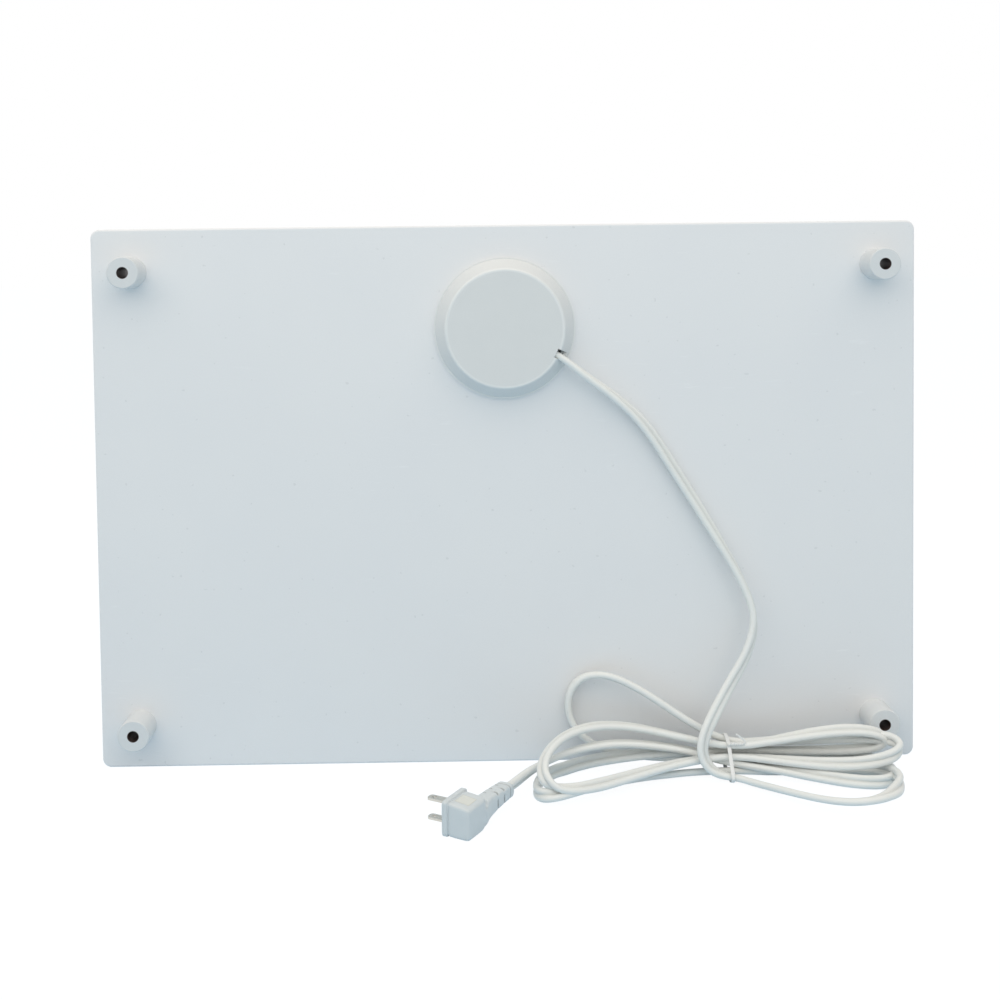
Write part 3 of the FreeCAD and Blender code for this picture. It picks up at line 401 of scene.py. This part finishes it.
# %% Flat twin cord
CORD_WIDE, CORD_WAIST, CORD_SIDES = 9.4 * MM, 2.3 * MM, 28
FLOOR_GAP = 0.2 * MM
ON_EDGE, UPRIGHT = np.array([0, 0.94, -0.34]), np.array([0, 0.34, 0.94])
LEAD_TURN = np.radians([10, 10, 15, 25, 35, 50, 55, 45, 25, 15, 45, 70, 80, 65, 50, 40, 20])
TAIL_TURN = np.radians([20, 20, 15, 15, 15, 15, 10, 0, -5, -20, -30, -30, -30])
# turns of each half loop: on its way out, at its far end and on its way back
LOOP_TURN = np.radians([(0, 0, 50), (-5, 0, 75), (30, 0, 60), (25, 50, 55), (75, 0, 60), (0, 0, 0),
                        (60, 0, 70)])
cord_angle = np.linspace(0, 2 * np.pi, CORD_SIDES, endpoint=False)


def twin_outline(angle):
    """A hippopede: radius squared is (w cos t)^2 + (b sin t)^2, half width w and half waist b."""
    radius = np.hypot(CORD_WIDE / 2 * np.cos(angle), CORD_WAIST / 2 * np.sin(angle))
    return np.stack([radius * np.cos(angle), radius * np.sin(angle)], -1)


def turned(angle, facing):
    """Direction of the broad side: cos a on edge plus sin a of the facing direction."""
    return np.cos(angle)[..., None] * ON_EDGE + np.sin(angle)[..., None] * facing


def side_of(points):
    """The direction in the panel's plane that is square to each stretch of a route."""
    run = np.gradient(points, axis=0)
    return unit(np.stack([-run[:, 2], 0 * run[:, 0], run[:, 0]], -1))


def loop_lie(points, turns):
    """Broad side along a half loop: on edge at the waist, turned at both bellies, and at the far end
    square to run and reach but for a turn towards the reach, blended from one to the next."""
    far = LOOP_STEPS // 2
    out, _, back = turned(turns, UPRIGHT)
    square = unit(np.cross(points[far + 1] - points[far - 1], (1.0, 0, 0)))
    square = square if square @ (out + back) > 0 else -square
    reach = np.array([np.sign(points[far, 0] - points[0, 0]), 0, 0])
    end = np.cos(turns[1]) * square + np.sin(turns[1]) * reach
    stops = np.array([ON_EDGE, out, end, back, ON_EDGE])
    return between(np.arange(LOOP_STEPS), np.linspace(0, LOOP_STEPS, len(stops)), stops)


loops = world(hank[:-1]).reshape(len(HALF_LOOPS), LOOP_STEPS, 3)
broad = np.vstack([turned(LEAD_TURN, side_of(world(LEAD)))]
                  + [loop_lie(points, turns) for points, turns in zip(loops, LOOP_TURN)]
                  + [ON_EDGE[None], turned(TAIL_TURN, -side_of(world(TAIL)))])
station = np.linspace(-0.5, len(route) - 1.5, len(route))
broad = between((len(route) - 2) * traced_at / traced_at[-1], station, broad)
run = unit(np.gradient(cord_path, axis=0))
cord_across = unit(broad - (broad * run).sum(-1, keepdims=True) * run)
cord_grid = carry(cord_path, cord_across, np.cross(run, cord_across), twin_outline(cord_angle))
# where the turned section would sink into the floor, it is lifted on to it
lift = np.maximum(FLOOR_GAP - cord_grid[..., 2].min(1), 0)
cord_path[:, 2] += lift
cord_grid[..., 2] += lift[:, None]
cord = skin("cord", cord_grid)
# the crease between the cores is where the sine is near 1 or -1; it carries the painted shade
mark(cord, "crease", np.tile(np.abs(np.sin(cord_angle)) ** 6, len(cord_path)))
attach(cord, "root")
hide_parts("cord_lead", "cord_hank", "cord_tail")
print("cord:", len(cord.data.polygons), "faces, lowest", round(float(cord_path[:, 2].min()), 4))

# %% [markdown]
# A thin white band goes once round the waist of the hank and its two ends are twisted, with one
# of them left standing. A band is a small rounded section carried round a closed path, and the
# standing end is the same idea on a short open one.

# %% Tie
def rounded(half_across, half_over, power, count):
    """A superellipse: |x / a| ** n + |y / b| ** n = 1, by the signed powers of cos and sin."""
    angle = np.linspace(0, 2 * np.pi, count, endpoint=False)
    bend = [np.sign(wave) * np.abs(wave) ** (2 / power) for wave in (np.cos(angle), np.sin(angle))]
    return np.stack([half_across * bend[0], half_over * bend[1]], -1)


BAND_AT, BAND_WIDE, BAND_THICK, BAND_STEPS = 155.5 * MM, 2.8 * MM, 0.7 * MM, 72
HANK_TOP, BAND_LOWEST = 35 * MM, 0.4 * MM
# the band follows the hull of the strands: the outermost point towards each direction
near_band = (np.abs(cord_grid[..., 0] - BAND_AT) < 2 * MM) & (cord_grid[..., 2] < HANK_TOP)
bundle = cord_grid[near_band][:, 1:]
outwards = rounded(1, 1, 2, 10 * BAND_STEPS)
hull = bundle[(bundle @ outwards.T).argmax(0)] + BAND_THICK * outwards
around = spaced(np.vstack([hull, hull[:1]]), BAND_STEPS + 1)[0][:-1]
loop_path = np.column_stack([np.full(BAND_STEPS, BAND_AT), around[:, 0],
                             np.maximum(around[:, 1], BAND_LOWEST)])
loop_run = unit(np.roll(loop_path, -1, 0) - np.roll(loop_path, 1, 0))
sideways = np.tile((1.0, 0.0, 0.0), (BAND_STEPS, 1))
band = skin("cord_band", carry(loop_path, sideways, np.cross(loop_run, sideways),
                               rounded(BAND_WIDE / 2, BAND_THICK / 2, 4, 12)), ring=True)

# the twist lies along the strand and its end springs back over it
STUB = np.array([(154.5, 36.0, 23.0), (157.0, 37.0, 24.6), (162.5, 36.6, 24.0), (166.6, 35.6, 23.8),
                 (167.6, 35.0, 25.0), (165.0, 34.6, 27.6), (160.4, 34.2, 30.8)])
STUB_ROWS, TWISTED_SHARE, TWISTS = 60, 0.5, 3.5
share = np.linspace(0, 1, STUB_ROWS)
stub_path = world(smoothed(spaced(STUB, STUB_ROWS)[0]))
stub_run = unit(np.gradient(stub_path, axis=0))
stub_across = unit(np.cross(stub_run, (0, 1.0, 0)))
stub_over = np.cross(stub_run, stub_across)
wring = 2 * np.pi * TWISTS * np.clip(1 - share / TWISTED_SHARE, 0, 1)[:, None]
stub_sides = np.cos(wring) * stub_across + np.sin(wring) * stub_over
thinning = np.interp(share, (0, 0.4, 0.55, 1), (1.2, 0.95, 0.6, 0.5))[:, None, None]
stub = skin("cord_band_end", carry(stub_path, stub_sides, np.cross(stub_run, stub_sides),
                                   rounded(1.15, 0.6, 2.6, 14) * thinning * MM))
for piece in (band, stub):
    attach(piece, "root")
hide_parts("cord_tie")
print("tie:", np.round(np.ptp(around, axis=0) / MM, 1).tolist(), "mm round the cord,",
      len(band.data.polygons) + len(stub.data.polygons), "faces")

# %% [markdown]
# The plug is one soft moulding: a thin face plate, a groove, a squat body whose edges are well
# rounded, and a neck that leaves it sideways and thins to the cord. The neck has staggered slots so
# that it can bend. Both parts are rounded sections carried along a line, with sizes from a table,
# and the slots are dips in the neck's radius.

# %% Plug body and neck
PLUG_CORNER = np.array([-47.9, -118.7, 0.0])
PLUG_AXES = np.array([(0.5, 0.866, 0), (0, 0, 1.0), (0.866, -0.5, 0)])
# depth from the face plate's front, nearest and farthest along the neck, lowest and highest
PLUG_TABLE = np.array([(0, 0.5, 26.0, 0.65, 22.6), (0.2, 0.05, 26.45, 0.2, 23.1),
                       (0.6, -0.25, 26.75, 0.0, 23.4), (3.4, -0.25, 26.75, 0.0, 23.4),
                       (3.85, 0.0, 26.5, 0.25, 23.1), (4.0, 0.6, 24.6, 0.7, 22.4),
                       (4.15, 1.0, 23.6, 1.0, 22.0), (4.75, 1.0, 23.5, 1.0, 22.0),
                       (4.9, 0.75, 23.8, 0.7, 22.3), (5.4, 0.5, 24.2, 0.35, 22.5),
                       (9.0, 0.4, 24.4, 0.15, 22.2), (14.0, 0.4, 24.4, 0.05, 21.6),
                       (17.6, 0.5, 24.2, 0.0, 21.0), (18.9, 0.8, 23.7, 0.3, 20.5),
                       (19.7, 1.4, 22.9, 0.9, 19.8), (20.1, 2.0, 22.1, 1.6, 19.0),
                       (20.2, 2.8, 21.2, 2.4, 18.1)])
PLUG_SIDES, GROOVE_DEPTH = 120, 4.8
CRISP_CORNER, FULL_CORNER = 12, 4.5


def in_plug(points):
    """Row frame metres of (along the neck, up, depth) in the plug's own mm."""
    return (PLUG_CORNER + points @ PLUG_AXES) * MM


depth, nearest, farthest, lowest, highest = (column[:, None] for column in PLUG_TABLE.T)
# behind the groove, the last quarter of the outline is the corner below the neck
below_neck = (depth > GROOVE_DEPTH) & (np.arange(PLUG_SIDES) > 0.75 * PLUG_SIDES)
outline = rounded(1, 1, np.where(below_neck, FULL_CORNER, CRISP_CORNER), PLUG_SIDES)
body_grid = np.stack([(nearest + farthest) / 2 + (farthest - nearest) / 2 * outline[..., 0],
                      (lowest + highest) / 2 + (highest - lowest) / 2 * outline[..., 1],
                      np.broadcast_to(depth, (len(depth), PLUG_SIDES))], -1)
plug = skin("plug", in_plug(body_grid))

NECK_ROWS, NECK_SIDES, NECK_CORNER = 221, 120, 4.5
NECK_START, NECK_END = 17.5, 63.0
# place along the neck, middle of the slot in degrees round it, half its arc
SLOTS = [(38.5, 118, 20), (46.5, 118, 20), (54.0, 118, 20), (42.5, 60, 24), (50.5, 60, 24),
         (41.5, -14, 15), (50.0, -14, 15), (38.5, 180, 26), (46.5, 180, 26), (54.0, 180, 26),
         (38.5, 242, 20), (46.5, 242, 20), (42.5, 300, 24), (50.5, 300, 24)]
SLOT_HALF, SLOT_DEEP = 0.7, 0.36
RING_AT, RING_HALF, RING_DEEP = 57.8, 0.6, 0.10
go = np.linspace(NECK_START, NECK_END, NECK_ROWS)


def profile(places, values):
    """Values along the neck, straight between the places, then smoothed over a millimetre or two."""
    return smoothed(np.interp(go, places, values)[:, None])


middle = profile((17.5, 24, 30, 45, 60, 63), (12.4, 12.9, 13.0, 13.3, 14.0, 14.2))
top = profile((17.5, 20.5, 22.5, 24.4, 26.6, 28.0, 28.8, 34, 42, 52, 61.6, 63),
              (19.6, 18.8, 17.2, 14.8, 14.0, 14.4, 16.8, 17.2, 17, 16.7, 16.3, 15.4))
bottom = profile((17.5, 22, 25, 28, 31, 35, 42, 52, 61.6, 63),
                 (0.4, 0.5, 0.8, 1.5, 2.5, 3.6, 4.9, 6.0, 6.9, 7.8))
half_deep = profile((17.5, 22, 25, 28, 32, 45, 61.6, 63), (7.2, 7.2, 7.0, 6.4, 6.0, 5.9, 5.8, 5.2))
neck_angle = np.degrees(np.linspace(0, 2 * np.pi, NECK_SIDES, endpoint=False))
dips = np.zeros((NECK_ROWS, NECK_SIDES))
for place, facing, arc in SLOTS:
    # a flat-bottomed dip: 1 / (1 + x ** n) along the neck times the same round it
    away = np.abs((neck_angle - facing + 180) % 360 - 180)
    dips = np.maximum(dips, np.outer(1 / (1 + np.abs((go - place) / SLOT_HALF) ** 8),
                                     1 / (1 + (away / arc) ** 10)))
ring_dip = 1 / (1 + np.abs((go - RING_AT) / RING_HALF) ** 6)[:, None]
neck_section = rounded(1, 1, NECK_CORNER, NECK_SIDES)
neck_section = neck_section * (1 - SLOT_DEEP * dips - RING_DEEP * ring_dip)[..., None]
neck_grid = np.stack([np.broadcast_to(go[:, None], dips.shape),
                      (top + bottom) / 2 + (top - bottom) / 2 * neck_section[..., 1],
                      middle + half_deep * neck_section[..., 0]], -1)
neck = skin("plug_neck", in_plug(neck_grid))
# the slots and the ring, which the plug's finish darkens with painted shade
mark(neck, "slot", np.maximum(dips, 0.5 * ring_dip))
for piece in (plug, neck):
    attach(piece, "root")
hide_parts("plug_body")
print("plug:", len(plug.data.polygons) + len(neck.data.polygons), "faces")

# %% [markdown]
# The panel is fired, slightly glazed board: nearly white, with broad clouds, a fine tooth, a few
# pin holes and faint rubbed streaks. A flat colour would look like paper, so noise of several
# sizes feeds colour, roughness and bump. The screw holes are darkened inside with painted shade,
# found by the distance from their four axes.

# %% Board and standoff finishes
HOLE_X, HOLE_LOW, HOLE_HIGH, HOLE_RADIUS = 0.271, 0.0315, 0.3645, 0.004


def bore_shade_mask(finish):
    """Painted shade: 1 within a hair of a screw hole's wall, 0 elsewhere: distance to the nearest of
    four axes.
    """
    x, y, z = finish.axes()
    level = abs(z - HOLE_LOW).least(abs(z - HOLE_HIGH))
    aside = abs(abs(x) - HOLE_X)
    radius = (aside * aside + level * level) ** 0.5
    return 1 - radius.step(HOLE_RADIUS + 0.00005, HOLE_RADIUS + 0.0004)


def fired_board():
    finish = Finish("fired_board")
    clouds, tooth = finish.noise(0.11, 2), finish.noise(0.0012, 2)
    pin_holes = finish.noise(0.0035, 1, 0.3).step(0.76, 0.82)
    streaks = finish.noise(0.03, 4, at=finish.placed(scale=(1, 1, 7))).step(0.62, 0.74)
    streaks = streaks * clouds.step(0.5, 0.62)
    colour = finish.mix(clouds, tone(238, 238, 238), tone(232, 233, 235))
    colour = finish.mix(tooth * 0.25, colour, tone(220, 222, 225))
    colour = finish.mix(streaks * 0.30, colour, tone(245, 246, 247))
    colour = finish.mix(pin_holes * 0.25, colour, tone(190, 192, 194))
    # painted shade inside the screw holes
    colour = finish.mix(bore_shade_mask(finish), colour, tone(74, 62, 58))
    height = tooth * 0.5 + clouds * 0.3 - pin_holes * 0.6
    return finish.shine(Base_Color=colour, Roughness=0.40 + tooth * 0.14 - streaks * 0.10,
                        Normal=finish.bump(height, 0.00006, 0.5), Specular_IOR_Level=0.45)


def standoff_moulding():
    finish = Finish("standoff_moulding")
    grain, clouds = finish.noise(0.0007, 3), finish.noise(0.012, 2)
    rings = finish.noise(0.0016, 2, at=finish.placed(scale=(0.05, 1, 0.05)))
    colour = finish.mix(clouds, tone(224, 226, 226), tone(216, 219, 221))
    colour = finish.mix(grain * 0.3, colour, tone(208, 211, 212))
    # painted shade inside the screw holes
    colour = finish.mix(bore_shade_mask(finish), colour, tone(66, 52, 48))
    return finish.shine(Base_Color=colour, Roughness=0.46 + grain * 0.16,
                        Normal=finish.bump(grain * 0.6 + rings * 0.4, 0.00005, 0.6))


board, spacer = fired_board(), standoff_moulding()
print("finishes:", board.name, spacer.name)

# %% [markdown]
# The junction box is a matt moulding with a spark-eroded grain, a little smoother on the edges of
# its cap and base, where it is handled, and lighter there by a painted highlight. The distance
# from the box's own axis finds those edges.

# %% Box finish
HUB_HEIGHT, CAP_EDGE, BASE_EDGE = 0.321, 0.0425, 0.0515


def box_moulding():
    finish = Finish("box_moulding")
    across, _, height = finish.axes()
    over = height - HUB_HEIGHT
    radius = (across * across + over * over) ** 0.5
    from_cap = abs(radius - CAP_EDGE).step(0.0004, 0.0018)
    from_base = abs(radius - BASE_EDGE).step(0.0003, 0.0009)
    # the edges: a painted highlight in the colour, and smoother by handling in the roughness
    edge_highlight_and_wear = 1 - from_cap.least(from_base)
    grain, clouds = finish.noise(0.0006, 2, 0.6), finish.noise(0.03, 3)
    colour = finish.mix(clouds, tone(228, 229, 228), tone(221, 223, 223))
    colour = finish.mix(grain * 0.35, colour, tone(197, 201, 202))
    # painted highlight on the edges of the cap and base
    colour = finish.mix(edge_highlight_and_wear * 0.35, colour, tone(245, 246, 245))
    return finish.shine(Base_Color=colour, Roughness=0.56 + grain * 0.16 - edge_highlight_and_wear * 0.2,
                        Normal=finish.bump(grain, 0.00007, 0.7))


box_skin = box_moulding()
print("finish:", box_skin.name)

# %% [markdown]
# The cord's vinyl is soft and a little glossy, and painted shade darkens the crease between the two
# cores, which the mesh carries as an attribute. The plug is the same vinyl, moulded thicker, here
# painted darker and bluer as painted shade, and its slots are darkened inside with painted shade.
# On its top is a bare sunken panel, found in the plug's own axes by a Mapping node, with painted
# shade along its edge.

# %% Cord, tie and plug finishes
# middle of the plug's sunken panel along the neck and in depth, half its sizes, its lowest level
PANEL_ALONG, PANEL_DEPTH = 0.0116, 0.0114
PANEL_HALF_LONG, PANEL_HALF_WIDE, PANEL_LEVEL = 0.0054, 0.0051, 0.0165


def cord_vinyl():
    finish = Finish("cord_vinyl_soft")
    crease_shade = finish.node("ShaderNodeAttribute", {"attribute_name": "crease"}, out="Fac")
    clouds, grain = finish.noise(0.04, 2), finish.noise(0.0006, 2)
    marks = finish.noise(0.011, 3).step(0.60, 0.76)
    colour = finish.mix(clouds, tone(235, 236, 232), tone(229, 231, 230))
    # painted shade in the crease between the cores, varied by the clouds
    colour = finish.mix(crease_shade * (0.25 + clouds * 0.4), colour, tone(196, 199, 196))
    colour = finish.mix(marks * 0.22, colour, tone(213, 212, 203))
    return finish.shine(Base_Color=colour, Roughness=0.36 + grain * 0.12 + marks * 0.12,
                        Normal=finish.bump(grain * 0.5 + clouds * 0.5, 0.00005, 0.4))


def tie_film():
    finish = Finish("tie_film")
    creases, fibre = finish.noise(0.0016, 3), finish.noise(0.0004, 2)
    colour = finish.mix(creases, tone(242, 242, 240), tone(226, 228, 228))
    colour = finish.mix(fibre * 0.3, colour, tone(212, 214, 214))
    return finish.shine(Base_Color=colour, Roughness=0.5 + fibre * 0.2,
                        Normal=finish.bump(creases, 0.00025, 0.6))


def plug_vinyl():
    finish = Finish("plug_vinyl_moulded")
    turn = np.radians(-60)
    cos, sin = np.cos(turn), np.sin(turn)
    corner = np.array([(cos, -sin), (sin, cos)]) @ (PLUG_CORNER[:2] * MM)
    finish.spot = finish.placed(turn=(0, 0, turn), move=(-corner[0], -corner[1], 0))
    along, against, height = finish.axes()
    outside = abs(along - PANEL_ALONG) - PANEL_HALF_LONG
    outside = outside.most(abs(against + PANEL_DEPTH) - PANEL_HALF_WIDE)
    panel = (1 - outside.step(0, 0.0003)) * height.step(PANEL_LEVEL, PANEL_LEVEL + 0.001)
    # the edge of the sunken panel, for painted shade
    recess_rim_shade = panel * outside.step(-0.0006, -0.0001)
    slot_shade = finish.node("ShaderNodeAttribute", {"attribute_name": "slot"}, out="Fac")
    grain, clouds = finish.noise(0.0005, 2), finish.noise(0.009, 2)
    # the white vinyl made darker and bluer: painted shade
    colour = finish.mix(clouds, tone(216, 221, 223), tone(208, 215, 218))
    colour = finish.mix(grain * 0.25, colour, tone(198, 206, 210))
    colour = finish.mix(panel * 0.8, colour, tone(222, 223, 215))
    # painted shade along the edge of the sunken panel
    colour = finish.mix(recess_rim_shade * 0.4, colour, tone(196, 196, 186))
    # painted shade inside the slots and the ring
    colour = finish.mix(slot_shade, colour, tone(128, 132, 130))
    return finish.shine(Base_Color=colour, Roughness=0.42 + grain * 0.14 + panel * 0.1,
                        Normal=finish.bump(grain * 0.08 - panel, 0.0005, 0.6))


cord_skin, tie_skin, plug_skin = cord_vinyl(), tie_film(), plug_vinyl()
for finish, pieces in ((cord_skin, [cord]), (tie_skin, [band, stub]), (plug_skin, [plug, neck])):
    for piece in pieces:
        piece.data.materials.append(finish)
print("cord, tie and plug dressed")

# %% [markdown]
# Metal is mostly its reflection, so its finishes vary roughness more than colour: drawn and
# brushed parts carry fine streaks along one direction, plated ones a soft bloom. Insulation is a
# sleeve with a faint weave, and steatite a dry, grainy body.

# %% Metal, sleeve and steatite finishes
def metal(name, light, dark, rough, streak, bloom=0.012):
    """Metal with streaks: noise squeezed along one axis by the streak scale."""
    finish = Finish(name)
    lines = finish.noise(0.0009, 3, at=finish.placed(scale=streak))
    clouds, fine = finish.noise(bloom, 3), finish.noise(0.0003, 2)
    colour = finish.mix(clouds, light, dark)
    colour = finish.mix(lines * 0.4, colour, tuple(0.75 * c for c in dark))
    return finish.shine(Base_Color=colour, Metallic=1.0, Roughness=rough + lines * 0.16 + clouds * 0.08,
                        Normal=finish.bump(lines * 0.7 + fine * 0.3, 0.00002, 0.5))


def sleeve(name, light, dark, weave):
    """Insulation: two crossed waves make a weave as fine as its size, over soft clouds."""
    finish = Finish(name)
    clouds = finish.noise(0.006, 2)
    first, second = (finish.node("ShaderNodeTexWave", {"bands_direction": "DIAGONAL"},
                                 {"Vector": finish.placed(turn=(0, turn, turn)),
                                  "Scale": 1 / weave, "Distortion": 0.6}, "Fac")
                     for turn in (0.0, 1.57))
    threads = first.most(second)
    colour = finish.mix(threads * 0.5 + clouds * 0.5, dark, light)
    return finish.shine(Base_Color=colour, Roughness=0.5 + clouds * 0.2 - threads * 0.08,
                        Normal=finish.bump(threads, 0.00008, 0.5))


def grainy(name, light, dark, rough, size):
    """A dry or moulded body: grains of one size, pits and clouds."""
    finish = Finish(name)
    grain, clouds = finish.noise(size, 3, 0.65), finish.noise(12 * size, 2)
    pits = finish.node("ShaderNodeTexVoronoi", {}, {"Vector": finish.spot, "Scale": 0.4 / size},
                       "Distance").step(0.1, 0.3)
    colour = finish.mix(clouds * 0.6 + grain * 0.4, light, dark)
    return finish.shine(Base_Color=colour, Roughness=rough + grain * 0.2,
                        Normal=finish.bump(grain * 0.6 + pits * 0.4, 0.0001, 0.6))


FINISHES = {
    "ceramic_board": board, "standoff_plastic": spacer, "junction_plastic": box_skin,
    "cord_vinyl": cord_skin, "tie_paper": tie_skin, "plug_vinyl": plug_skin,
    "resistance_wire": metal("nichrome_wire", tone(150, 146, 140), tone(104, 98, 94), 0.42,
                             (0.1, 1, 1)),
    "lead_insulation": sleeve("glass_sleeve", tone(228, 226, 218), tone(198, 194, 184), 0.0016),
    "live_insulation": sleeve("brown_core", tone(120, 76, 52), tone(88, 54, 38), 0.004),
    "neutral_insulation": sleeve("blue_core", tone(70, 104, 168), tone(46, 74, 132), 0.004),
    "steatite": grainy("steatite_body", tone(236, 231, 219), tone(220, 213, 198), 0.62, 0.0006),
    "brass": metal("turned_brass", tone(214, 184, 118), tone(178, 146, 86), 0.26, (1, 0.1, 1)),
    "zinc_steel": metal("zinc_plate", tone(196, 198, 202), tone(160, 163, 168), 0.30, (1, 1, 0.2)),
    "cutout_aluminium": metal("drawn_aluminium", tone(214, 216, 218), tone(186, 188, 191), 0.34,
                              (1, 0.15, 1)),
    "cutout_moulding": grainy("phenolic_moulding", tone(64, 56, 51), tone(44, 38, 35), 0.44, 0.0007),
    "blade_nickel": metal("nickel_blade", tone(230, 228, 221), tone(210, 207, 199), 0.28,
                          (0.12, 0.12, 1)),
}
slot_of = {part["node"]: part["material_slot"] for part in frame["record"]["subparts"]}
for name, node in frame["nodes"].items():
    for place in node.material_slots:
        place.material = FINISHES[slot_of[name]]
print("dressed", len(frame["nodes"]), "CAD nodes with", len(FINISHES), "finishes")

# %% [markdown]
# A cord is soft, so a simulation needs more than its mesh: where it leaves the box, its length and
# width, what is on its far end, the line it lies along, and the pieces that move with it. Here the
# cell only prints how many points the cord's line has.

print("cord declared along", len(cord_path), "points")
